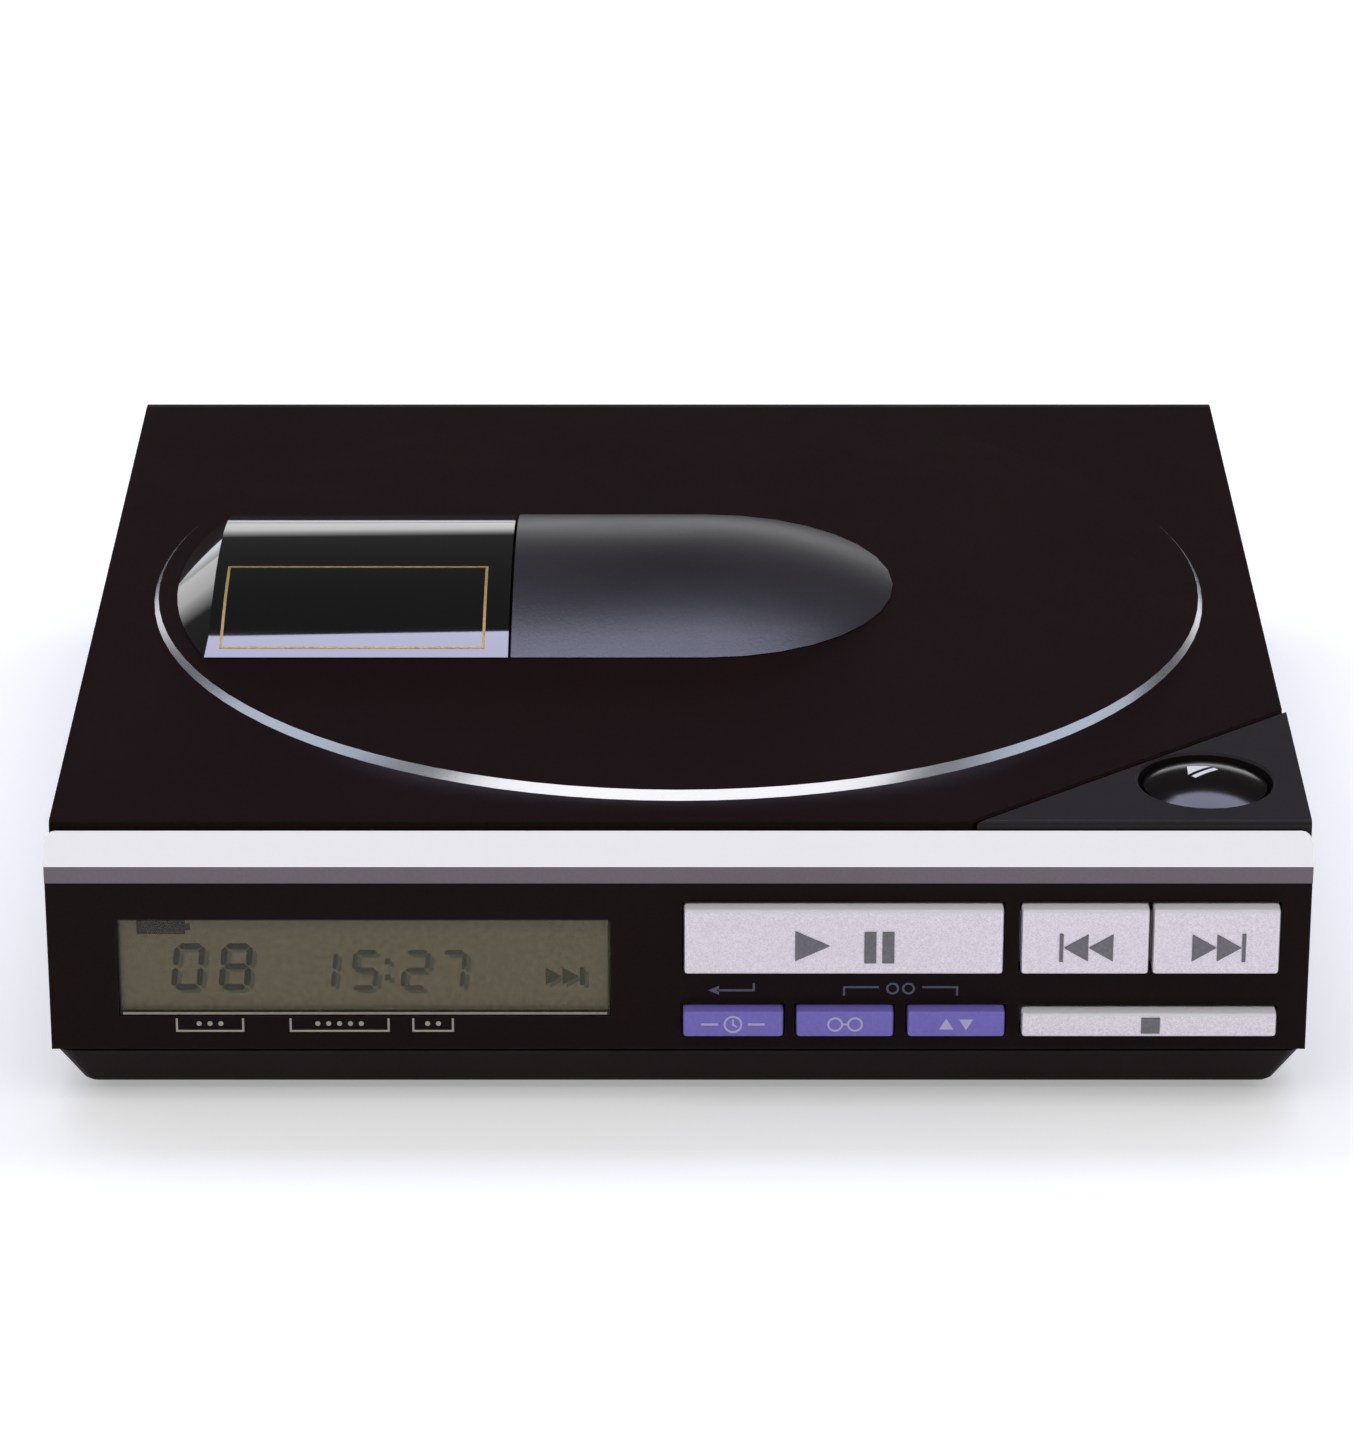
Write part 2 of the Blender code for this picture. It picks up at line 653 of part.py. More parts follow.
def along_sled(shape):
    """Turns a shape made along X from the spindle into the pickup's direction."""
    bmesh.ops.transform(shape, matrix=Matrix.Rotation(SLED_ANGLE, 4, "Z"), verts=shape.verts)
    return shape


def deck_outline():
    quarter = math.pi / 2
    left = -HALF_WIDTH + CORNER_RADIUS
    right = HALF_WIDTH - CORNER_RADIUS
    rear = REAR_Y - CORNER_RADIUS
    return (
        [(-HALF_WIDTH, DECK_FRONT_Y), (HALF_WIDTH, DECK_FRONT_Y)]
        + arc((right, rear), CORNER_RADIUS, 0, quarter, CORNER_STEPS)
        + arc((left, rear), CORNER_RADIUS, quarter, 2 * quarter, CORNER_STEPS)
    )


def lid_front_edge():
    """Points (y, z) of the rounded front edge that the lid and the fixed corner share, from below."""
    centre = (DECK_FRONT_Y + LID_EDGE_RADIUS, TOP_Z - LID_EDGE_RADIUS)
    return arc(centre, LID_EDGE_RADIUS, math.pi, math.pi / 2, LID_EDGE_STEPS)


def groove_chamfer(place, away):
    """A square bar on its edge along the groove. It cuts the chamfer of the edge at this place, and away
    is 1 or -1 for the direction across the groove in which the bar leaves the edge."""
    reach = (GROOVE_END - GROOVE_START).length
    centre = (place + away * OVERRUN / 2, TOP_Z + OVERRUN / 2)
    return along_latch(rod(OVERRUN + GROOVE_CHAMFER, (-reach, reach), 4, centre, "Y"))


def add_deck_forms(deck):
    """The wall behind the trim, the fixed corner, the hinge ears, the trough's floor and the screw posts."""
    wall = box(
        (-SKIRT_INNER_X + GAP, CORNER_FRONT_X + OVERRUN),
        (DECK_FRONT_Y, DECK_FRONT_Y + FRONT_WALL),
        (DECK_TOP_Z - EMBED, LID_UNDER_Z - GAP),
    )
    corner = [tuple(GROOVE_START), (HALF_WIDTH, DECK_FRONT_Y), tuple(GROOVE_END)]
    ear = rod(EAR_RADIUS, (EAR_INNER_X, EAR_OUTER_X + EMBED), TROUGH_SIDES, (HINGE_Y, HINGE_Z), "X")
    trough = box(
        (-EAR_OUTER_X + EMBED, EAR_OUTER_X - EMBED),
        (HINGE_Y - TROUGH_FLOOR, INNER_REAR_Y - GAP),
        (HINGE_Z - TROUGH_RADIUS - TROUGH_FLOOR, DECK_BOTTOM_Z + EMBED),
    )
    add(
        deck,
        helper("deck front wall", wall),
        helper("deck corner", prism([corner], (DECK_TOP_Z - EMBED, TOP_Z))),
        helper("hinge ears", both_sides(ear)),
        helper("trough block", trough),
    )
    for name, (x, y) in SCREW_PLACES.items():
        post = rod(POST_RADIUS, (BOSS_TOP_Z + GAP, DECK_BOTTOM_Z + EMBED), SCREW_SIDES, (x, y))
        add(deck, helper("post " + name, post))


def half_round(radius):
    """Points of the trough's rear half, from below the hinge's axis to above it."""
    quarter = math.pi / 2
    return arc((HINGE_Y, HINGE_Z), radius, -quarter, quarter, TROUGH_SIDES // 2)


def cut_trough(deck):
    start_y = HINGE_Y - GAP
    outer = half_round(TROUGH_RADIUS)
    middle = [(start_y, outer[0][1])] + outer + [(start_y, outer[-1][1])]
    half = EAR_INNER_X - GAP
    cut(deck, helper("trough", profile_bar(middle, (-half, half))))
    inner = half_round(ROLL_INNER_RADIUS - GAP)
    around_ear = outer + inner[::-1]
    ring = profile_bar(around_ear, (half - EMBED, EAR_OUTER_X + EMBED))
    cut(deck, helper("trough round ears", both_sides(ring)))
    cut(deck, hinge_clearance("deck hinge clearance"))
    pin_bore = rod(PIN_RADIUS + RUNNING_GAP, (EAR_INNER_X - OVERRUN, EAR_OUTER_X + OVERRUN), PIN_SIDES,
                   (HINGE_Y, HINGE_Z), "X")
    cut(deck, helper("ear bores", both_sides(pin_bore)))


def cut_latch_room(deck):
    recess = rod(BUTTON_RECESS_RADIUS, (RECESS_FLOOR_Z, TOP_Z + OVERRUN), BUTTON_SIDES, BUTTON_CENTRE)
    stem = rod(BUTTON_STEM_RADIUS + GAP, (LATCH_TOP_Z, TOP_Z), BUTTON_SIDES, BUTTON_CENTRE)
    room = box(
        (-CATCH_FACE, LATCH_REAR + BUTTON_TRAVEL * WEDGE_SLOPE + GAP),
        (-LATCH_HALF_WIDTH - GAP, LATCH_HALF_WIDTH + GAP),
        (DECK_BOTTOM_Z - OVERRUN, LATCH_TOP_Z + GAP),
    )
    catch_half = CATCH_HALF_WIDTH + CATCH_CLEARANCE
    slot = box(
        (-CATCH_FACE - CATCH_THICKNESS - CATCH_CLEARANCE, -CATCH_FACE + CATCH_CLEARANCE),
        (-catch_half, catch_half),
        (DECK_BOTTOM_Z - OVERRUN, DECK_TOP_Z + OVERRUN),
    )
    cut(
        deck,
        helper("button recess", recess),
        helper("button stem bore", stem),
        helper("latch room", along_latch(room)),
        helper("catch slot", along_latch(slot)),
    )


def top_deck():
    ledge = circle((0, 0), WELL_RADIUS - TRAY_LEDGE, WELL_SIDES)
    deck = part("top_deck", prism([deck_outline(), ledge], (DECK_BOTTOM_Z, DECK_TOP_Z)), "black plastic")
    add_deck_forms(deck)
    well = rod(WELL_RADIUS, (TRAY_BOTTOM_Z - GAP, TOP_Z + OVERRUN), WELL_SIDES)
    cut(deck, helper("well", well))
    cut_trough(deck)
    cut_latch_room(deck)
    notch_half = LENS_RADIUS + LENS_SLOT_GAP
    notch = box((LENS_INNER_RADIUS, WELL_RADIUS), (-notch_half, notch_half),
                (DECK_BOTTOM_Z - OVERRUN, TRAY_TOP_Z))
    cut(deck, helper("lens notch", along_sled(notch)))
    for name, (x, y) in SCREW_PLACES.items():
        bore = rod(SCREW_SHANK_RADIUS + GAP, (BOSS_TOP_Z, SCREW_TOP_Z + GAP), SCREW_SIDES, (x, y))
        cut(deck, helper("post bore " + name, bore))
    edge = lid_front_edge()
    beyond = [(edge[-1][0], TOP_Z + OVERRUN), (DECK_FRONT_Y - OVERRUN, TOP_Z + OVERRUN),
              (DECK_FRONT_Y - OVERRUN, edge[0][1])]
    front = profile_bar(edge + beyond, (CORNER_FRONT_X - OVERRUN, HALF_WIDTH + OVERRUN))
    rim = rod(BUTTON_RECESS_RADIUS - GROOVE_CHAMFER, (TOP_Z - 2 * GROOVE_CHAMFER, TOP_Z + GROOVE_CHAMFER),
              BUTTON_SIDES, BUTTON_CENTRE, tip_radius=BUTTON_RECESS_RADIUS + 2 * GROOVE_CHAMFER)
    cut(
        deck,
        helper("corner front edge", front),
        helper("corner groove chamfer", groove_chamfer(0, -1)),
        helper("button recess chamfer", rim),
    )


def disc_tray():
    outlines = [
        circle((0, 0), WELL_RADIUS - GAP, WELL_SIDES),
        circle((0, 0), SPINDLE_HOLE_RADIUS, MEDIUM_SIDES),
    ]
    tray = part("disc_tray", prism(outlines, (TRAY_BOTTOM_Z, TRAY_TOP_Z)), "matte black")
    half = LENS_RADIUS + LENS_SLOT_GAP
    slot = box((LENS_INNER_RADIUS - half, WELL_RADIUS + OVERRUN), (-half, half),
               (TRAY_BOTTOM_Z - OVERRUN, TRAY_TOP_Z + OVERRUN))
    cut(tray, helper("lens slot", along_sled(slot)))


def hinge_pins():
    ends = (EAR_INNER_X + PIN_INSET, LID_HALF_WIDTH - PIN_INSET)
    for name, side in (("left", -1), ("right", 1)):
        low, high = sorted((side * ends[0], side * ends[1]))
        pin = rod(PIN_RADIUS, ((low - high) / 2, (high - low) / 2), PIN_SIDES, axis="X")
        part("hinge_pin_" + name, pin, "steel", at=((low + high) / 2, HINGE_Y, HINGE_Z))


def open_button():
    rim = TOP_Z - BUTTON_RIM_DROP
    dome_radius = (BUTTON_RADIUS ** 2 + BUTTON_DOME ** 2) / (2 * BUTTON_DOME)
    dome = []
    for step in range(DOME_STEPS + 1):
        radius = BUTTON_RADIUS * step / DOME_STEPS
        rise = math.sqrt(dome_radius ** 2 - radius ** 2) - (dome_radius - BUTTON_DOME)
        dome.append((radius, rim + rise))
    wedge_tip = LATCH_TOP_Z - WEDGE_DIP
    wedge_radius = WEDGE_TIP_RADIUS + WEDGE_LENGTH * WEDGE_SLOPE
    skirt_z = rim - BUTTON_SKIRT
    profile = dome + [
        (BUTTON_RADIUS, skirt_z),
        (BUTTON_STEM_RADIUS, skirt_z),
        (BUTTON_STEM_RADIUS, wedge_tip + WEDGE_LENGTH),
        (wedge_radius, wedge_tip + WEDGE_LENGTH),
        (WEDGE_TIP_RADIUS, wedge_tip),
        (0, wedge_tip),
    ]
    turned("open_button", profile, "black plastic", BUTTON_SIDES, at=(BUTTON_X, BUTTON_Y, 0))


def latch():
    outline = [
        (-CATCH_FACE + GAP, -TOOTH_HALF_WIDTH),
        (TOOTH_ROOT, -TOOTH_HALF_WIDTH),
        (TOOTH_ROOT, -LATCH_HALF_WIDTH),
        (LATCH_REAR, -LATCH_HALF_WIDTH),
        (LATCH_REAR, LATCH_HALF_WIDTH),
        (TOOTH_ROOT, LATCH_HALF_WIDTH),
        (TOOTH_ROOT, TOOTH_HALF_WIDTH),
        (-CATCH_FACE + GAP, TOOTH_HALF_WIDTH),
    ]
    slider = part("latch_slider", along_latch(prism([outline], (LATCH_BOTTOM_Z, LATCH_TOP_Z))), "white nylon")
    wall = BUTTON_DISTANCE + WEDGE_TIP_RADIUS + WEDGE_DIP * WEDGE_SLOPE + GAP / 2
    hole = rod(LATCH_HOLE_RADIUS, (LATCH_BOTTOM_Z - OVERRUN, LATCH_TOP_Z + OVERRUN), MEDIUM_SIDES,
               (wall - LATCH_HOLE_RADIUS, 0))
    cut(slider, helper("wedge hole", along_latch(hole)))
    under_tooth = box((-CATCH_FACE - OVERRUN, TOOTH_ROOT), (-LATCH_HALF_WIDTH, LATCH_HALF_WIDTH),
                      (LATCH_BOTTOM_Z - OVERRUN, TOOTH_BOTTOM_Z))
    over_tooth = box((-CATCH_FACE - OVERRUN, TOOTH_ROOT), (-LATCH_HALF_WIDTH, LATCH_HALF_WIDTH),
                     (TOOTH_TOP_Z, LATCH_TOP_Z + OVERRUN))
    cut(
        slider,
        helper("under tooth", along_latch(under_tooth)),
        helper("over tooth", along_latch(over_tooth)),
    )
    plate_top = DECK_BOTTOM_Z - GAP
    plate = box(
        (-CATCH_FACE, LATCH_REAR + OVERRUN),
        (-LATCH_PLATE_HALF_WIDTH, LATCH_PLATE_HALF_WIDTH),
        (plate_top - LATCH_PLATE_THICKNESS, plate_top),
    )
    part("latch_plate", along_latch(plate), "zinc plate")


# Front panel, trim, display and keys


TRIM_SLOPE_HEIGHT = 2.8 * MM
TRIM_PROUD = 0.3 * MM
TRIM_STRIP = 1.8 * MM
TRIM_TOP_GAP = 0.9 * MM
TRIM_CORNER_RADIUS = 1.0 * MM
PANEL_TOP_Z = TOP_Z - TRIM_TOP_GAP - TRIM_SLOPE_HEIGHT - TRIM_STRIP - GAP / 2
WINDOW_LEFT = -56.5 * MM
WINDOW_RIGHT = -6.8 * MM
WINDOW_TOP_Z = 20.7 * MM
WINDOW_BOTTOM_Z = 10.0 * MM
WINDOW_THICKNESS = 0.6 * MM
WINDOW_INSET = 0.1 * MM
WINDOW_GAP = 0.1 * MM
DISPLAY_DEPTH = 4.2 * MM
DISPLAY_FRAME = 0.9 * MM
DISPLAY_GAP = 0.2 * MM
KEY_GAP = 0.2 * MM
KEY_TRAVEL = 0.8 * MM
KEY_EDGE_RADIUS = 0.35 * MM
KEY_FLANGE = 0.8 * MM
KEY_FLANGE_THICKNESS = 0.9 * MM
STEM_LENGTH = 1.4 * MM
STEM_HALF_WIDTH = 1.5 * MM
STEM_HALF_HEIGHT = 0.8 * MM
SWITCH_HALF_WIDTH = 2 * MM
SWITCH_DEPTH = 1.0 * MM
BOARD_THICKNESS = 1.2 * MM
UPPER_STEM_Z = 17.4 * MM
UPPER_ROW = (15.3 * MM, 22.5 * MM)
STOP_ROW = (8.3 * MM, 11.0 * MM)
MODE_ROW = (8.3 * MM, 11.2 * MM)
# Each key: left and right edge, row, look
KEYS = {
    "play_pause_key": ((0.56 * MM, 32.6 * MM), UPPER_ROW, "silver key"),
    "previous_key": ((34.4 * MM, 47.2 * MM), UPPER_ROW, "silver key"),
    "next_key": ((47.6 * MM, 60.3 * MM), UPPER_ROW, "silver key"),
    "stop_key": ((34.6 * MM, 60.3 * MM), STOP_ROW, "silver key"),
    "remain_key": ((0.46 * MM, 10.57 * MM), MODE_ROW, "violet key"),
    "play_mode_key": ((11.88 * MM, 21.68 * MM), MODE_ROW, "violet key"),
    "key_mode_key": ((23.1 * MM, 32.9 * MM), MODE_ROW, "violet key"),
}
KEY_WINDOWS = (
    ("play_pause_key", "play_pause_key"),
    ("previous_key", "next_key"),
    ("stop_key", "stop_key"),
    ("remain_key", "remain_key"),
    ("play_mode_key", "play_mode_key"),
    ("key_mode_key", "key_mode_key"),
)
BOARD_TOP_Z = 5.6 * MM
KEY_BOARD_LEFT = -1.5 * MM
KEY_BOARD_RIGHT = 59 * MM
KEY_BOARD_TOP_Z = 19 * MM
CARRIER_TOP_Z = DECK_BOTTOM_Z - GAP
STEM_END_Y = DECK_FRONT_Y + KEY_FLANGE_THICKNESS + STEM_LENGTH
SWITCH_FRONT_Y = STEM_END_Y + KEY_TRAVEL + GAP
KEY_BOARD_Y = SWITCH_FRONT_Y + SWITCH_DEPTH


def front_plate(outlines, ends):
    """Outlines of (x, z) points made into a plate between two values of y."""
    shape = prism(outlines, (-ends[1], -ends[0]))
    turn = Matrix(((1, 0, 0, 0), (0, 0, -1, 0), (0, 1, 0, 0), (0, 0, 0, 1)))
    bmesh.ops.transform(shape, matrix=turn, verts=shape.verts)
    return shape


def front_panel():
    outlines = [
        rectangle((-HALF_WIDTH, HALF_WIDTH), (BEVEL_TOP_Z, PANEL_TOP_Z)),
        rectangle((WINDOW_LEFT, WINDOW_RIGHT), (WINDOW_BOTTOM_Z, WINDOW_TOP_Z)),
    ]
    for first, last in KEY_WINDOWS:
        low, high = KEYS[first][1]
        left = KEYS[first][0][0] - KEY_GAP
        right = KEYS[last][0][1] + KEY_GAP
        outlines.append(rectangle((left, right), (low - KEY_GAP, high + KEY_GAP)))
    part("front_panel", front_plate(outlines, (FACE_Y, PANEL_BACK_Y)), "black plastic")


def front_trim():
    top = TOP_Z - TRIM_TOP_GAP
    bottom = PANEL_TOP_Z + GAP / 2
    nose = FACE_Y - TRIM_PROUD
    outline = [(PANEL_BACK_Y, bottom), (PANEL_BACK_Y, top), (nose, top - TRIM_SLOPE_HEIGHT), (nose, bottom)]
    trim = part("front_trim", profile_bar(outline, (-HALF_WIDTH, HALF_WIDTH)), "bright trim")
    ends = front_plate([corner_waste((HALF_WIDTH, top), TRIM_CORNER_RADIUS)],
                       (nose - OVERRUN, PANEL_BACK_Y + OVERRUN))
    cut(trim, helper("trim corners", both_sides(ends)))


def display():
    front = FACE_Y + WINDOW_INSET
    back = front + WINDOW_THICKNESS
    pane = rounded_rectangle(
        (WINDOW_LEFT + WINDOW_GAP, WINDOW_RIGHT - WINDOW_GAP),
        (WINDOW_BOTTOM_Z + WINDOW_GAP, WINDOW_TOP_Z - WINDOW_GAP),
        WINDOW_GAP,
    )
    part("display_window", front_plate([pane], (front, back)), "clear window")
    glass_front = back + DISPLAY_GAP
    glass = box(
        (WINDOW_LEFT + GAP, WINDOW_RIGHT - GAP),
        (glass_front, DECK_FRONT_Y + EMBED),
        (WINDOW_BOTTOM_Z + GAP, WINDOW_TOP_Z - GAP),
    )
    module = part("display_module", glass, "display grey")
    frame = box(
        (WINDOW_LEFT - DISPLAY_FRAME, WINDOW_RIGHT + DISPLAY_FRAME),
        (DECK_FRONT_Y, glass_front + DISPLAY_DEPTH),
        (WINDOW_BOTTOM_Z - DISPLAY_FRAME, CARRIER_TOP_Z),
    )
    add(module, helper("display frame", frame))


def stem_height(row):
    return UPPER_STEM_Z if row is UPPER_ROW else (row[0] + row[1]) / 2


def keys():
    for name, (edges, row, look) in KEYS.items():
        back = DECK_FRONT_Y - KEY_TRAVEL - GAP
        middle = (edges[0] + edges[1]) / 2
        places = Vector((middle, KEY_FACE_Y, (row[0] + row[1]) / 2))
        block = box((edges[0] - middle, edges[1] - middle), (0, back - KEY_FACE_Y),
                    (row[0] - places.z, row[1] - places.z))
        key = part(name, block, look, at=places)
        bevel(key, KEY_EDGE_RADIUS)
        top = min(row[1], CARRIER_TOP_Z) - KEY_GAP
        neck = box((edges[0] + KEY_GAP, edges[1] - KEY_GAP), (back - EMBED, DECK_FRONT_Y + EMBED),
                   (row[0] + KEY_GAP, top))
        flange = box(
            edges,
            (DECK_FRONT_Y, DECK_FRONT_Y + KEY_FLANGE_THICKNESS),
            (row[0] - KEY_FLANGE, min(row[1] + KEY_FLANGE, CARRIER_TOP_Z)),
        )
        stem_z = stem_height(row)
        stem = box((middle - STEM_HALF_WIDTH, middle + STEM_HALF_WIDTH), (DECK_FRONT_Y + EMBED, STEM_END_Y),
                   (stem_z - STEM_HALF_HEIGHT, stem_z + STEM_HALF_HEIGHT))
        add(key, helper(name + " neck", neck), helper(name + " flange", flange), helper(name + " stem", stem))


def key_board():
    outline = rectangle((KEY_BOARD_LEFT, KEY_BOARD_RIGHT), (BOARD_TOP_Z + GAP, KEY_BOARD_TOP_Z))
    board = part("key_board", front_plate([outline], (KEY_BOARD_Y, KEY_BOARD_Y + BOARD_THICKNESS)),
                 "green board")
    for name, (edges, row, _) in KEYS.items():
        middle = (edges[0] + edges[1]) / 2
        stem_z = stem_height(row)
        switch = box(
            (middle - SWITCH_HALF_WIDTH, middle + SWITCH_HALF_WIDTH),
            (SWITCH_FRONT_Y, KEY_BOARD_Y + EMBED),
            (stem_z - STEM_HALF_WIDTH, stem_z + STEM_HALF_WIDTH),
        )
        add(board, helper(name + " switch", switch))


# Lid, its window and bulge, and the disc clamp


PILL_HALF_WIDTH = 21.35 * MM
PILL_HEIGHT = 4.0 * MM
PILL_LEFT_RADIUS = 54.8 * MM
PILL_RIDGE_X = -50.2 * MM
PILL_SEAM_X = -18 * MM
PILL_SHOULDER_X = 3 * MM
PILL_TIP_X = 23.5 * MM
PILL_WALL = 1.3 * MM
PILL_RIM = 3.2 * MM
PILL_GAP = 0.1 * MM
HOLLOW_END_SHARE = 2
HOLLOW_TIP_SHARE = 3
PILL_COLUMNS = 14
NOSE_STEPS = 8
PLATEAU_SIDES = 96
PLATEAU_TILT = math.atan(PLATEAU_RISE / (2 * PLATEAU_RADIUS))
PLATEAU_CENTRE_Z = TOP_Z + PLATEAU_RISE / 2
LID_OPENING_SIDES = 12
PILL_ARC_RADIUS = (PILL_HALF_WIDTH ** 2 + PILL_HEIGHT ** 2) / (2 * PILL_HEIGHT)

HOLDER_THICKNESS = 0.9 * MM
HOLDER_LEFT = -20.5 * MM
HOLDER_RIGHT = 22.5 * MM
HOLDER_HALF_DEPTH = 21 * MM
HOLDER_CORNER = 4 * MM
PUCK_NECK_RADIUS = 9.0 * MM
PUCK_NECK_GAP = 0.5 * MM
PUCK_RADIUS = 14 * MM
PUCK_FLANGE_RADIUS = 11.5 * MM
PUCK_RIM_THICKNESS = 0.9 * MM
PUCK_FLANGE_THICKNESS = 0.8 * MM
PUCK_FLOAT = 0.6 * MM
PUCK_RECESS_RADIUS = 7.9 * MM
HUB_RISE = 0.8 * MM
HUB_CLEARANCE = 0.1 * MM
HUB_RADIUS = DISC_HOLE_RADIUS - HUB_CLEARANCE
HUB_CHAMFER = 0.5 * MM


def pill_section(x_of, half_width, arc_radius, floor):
    """One ring across the pill: its arch from front to rear, then back along its floor."""
    drop = PILL_ARC_RADIUS - PILL_HEIGHT
    reach = math.sqrt(max(arc_radius ** 2 - half_width ** 2, 0))
    arch = []
    base = []
    for column in range(PILL_COLUMNS + 1):
        y = half_width * (2 * column / PILL_COLUMNS - 1)
        rise = max(math.sqrt(arc_radius ** 2 - y ** 2) - max(reach, drop), 0)
        arch.append((x_of(y), y, rise))
        base.append((x_of(y), y, floor))
    return arch + base[::-1]


def flat_section(x_of, half_width, floor):
    arch = []
    base = []
    for column in range(PILL_COLUMNS + 1):
        y = half_width * (2 * column / PILL_COLUMNS - 1)
        arch.append((x_of(y), y, 0))
        base.append((x_of(y), y, floor))
    return arch + base[::-1]


def left_end(radius):
    return lambda y: -math.sqrt(radius ** 2 - y ** 2)


def window_form(wall, floor):
    """The glossy left part of the pill, or the hollow inside it for a wall that isn't zero."""
    arc_radius = PILL_ARC_RADIUS - wall
    half = math.sqrt(arc_radius ** 2 - (PILL_ARC_RADIUS - PILL_HEIGHT) ** 2)
    inset = HOLLOW_END_SHARE * wall
    rings = [
        flat_section(left_end(PILL_LEFT_RADIUS - inset), half, floor),
        pill_section(lambda y: PILL_RIDGE_X + inset, half, arc_radius, floor),
        pill_section(lambda y: PILL_SEAM_X - GAP / 2 - wall, half, arc_radius, floor),
    ]
    return loft(rings, first_cap=floor < 0)


def bulge_form(wall, floor):
    """The matte right part of the pill, which narrows to a tip, or the hollow inside it."""
    arc_radius = PILL_ARC_RADIUS - wall
    half = math.sqrt(arc_radius ** 2 - (PILL_ARC_RADIUS - PILL_HEIGHT) ** 2)
    tip = PILL_TIP_X - HOLLOW_TIP_SHARE * wall
    start = PILL_SEAM_X + GAP / 2 + wall
    rings = [pill_section(lambda y: start, half, arc_radius, floor)]
    for step in range(NOSE_STEPS + 1):
        turn = math.pi / 2 * step / NOSE_STEPS
        x = PILL_SHOULDER_X + (tip - PILL_SHOULDER_X) * math.sin(turn)
        width = half * math.cos(turn)
        rings.append(pill_section(lambda y, x=x: x, width, arc_radius, floor))
    return loft(rings, last_cap=False)


def pill_part(name, form, look):
    base = (0, 0, PLATEAU_CENTRE_Z + PILL_GAP)
    tilt = (-PLATEAU_TILT, 0, 0)
    shell = part(name, form(0, 0), look, at=base, turn=tilt)
    cut(shell, helper(name + " hollow", form(PILL_WALL, -OVERRUN), at=base, turn=tilt))


def plateau():
    """The raised round of the lid: its chamfer is widest at the front and runs out at the rear."""
    rings = [[], [], []]
    for index in range(PLATEAU_SIDES):
        angle = 2 * math.pi * index / PLATEAU_SIDES
        side = math.sin(angle)
        rise = (PLATEAU_RISE * PLATEAU_RADIUS * (1 - side)
                / (2 * PLATEAU_RADIUS - PLATEAU_RISE * side))
        direction = Vector((math.cos(angle), side, 0))
        rings[0].append(direction * PLATEAU_RADIUS + Vector((0, 0, TOP_Z - EMBED)))
        rings[1].append(direction * PLATEAU_RADIUS + Vector((0, 0, TOP_Z)))
        rings[2].append(direction * (PLATEAU_RADIUS - rise) + Vector((0, 0, TOP_Z + rise)))
    return loft(rings)


def lid_opening_outline():
    """The hole under the pill, smaller all round than the pill by its rim."""
    half = PILL_HALF_WIDTH - PILL_RIM
    radius = PILL_LEFT_RADIUS - PILL_RIM
    limit = math.asin(half / radius)
    left = arc((0, 0), radius, math.pi - limit, math.pi + limit, LID_OPENING_SIDES)
    tip = PILL_TIP_X - PILL_RIM - PILL_SHOULDER_X
    right = []
    for step in range(LID_OPENING_SIDES + 1):
        turn = -math.pi / 2 + math.pi * step / LID_OPENING_SIDES
        right.append((PILL_SHOULDER_X + tip * math.cos(turn), half * math.sin(turn)))
    return left + right


def lid_corner_cutter():
    """What the lid leaves free for the fixed corner and the groove."""
    edge = GROOVE_START - GROOVE_WIDTH * GROOVE_ACROSS
    reach = GROOVE_ALONG * (GROOVE_END - GROOVE_START).length
    return [
        tuple(edge - reach),
        tuple(edge + 2 * reach),
        tuple(edge + 2 * reach + GROOVE_ACROSS * reach.length),
        tuple(edge - reach + GROOVE_ACROSS * reach.length),
    ]


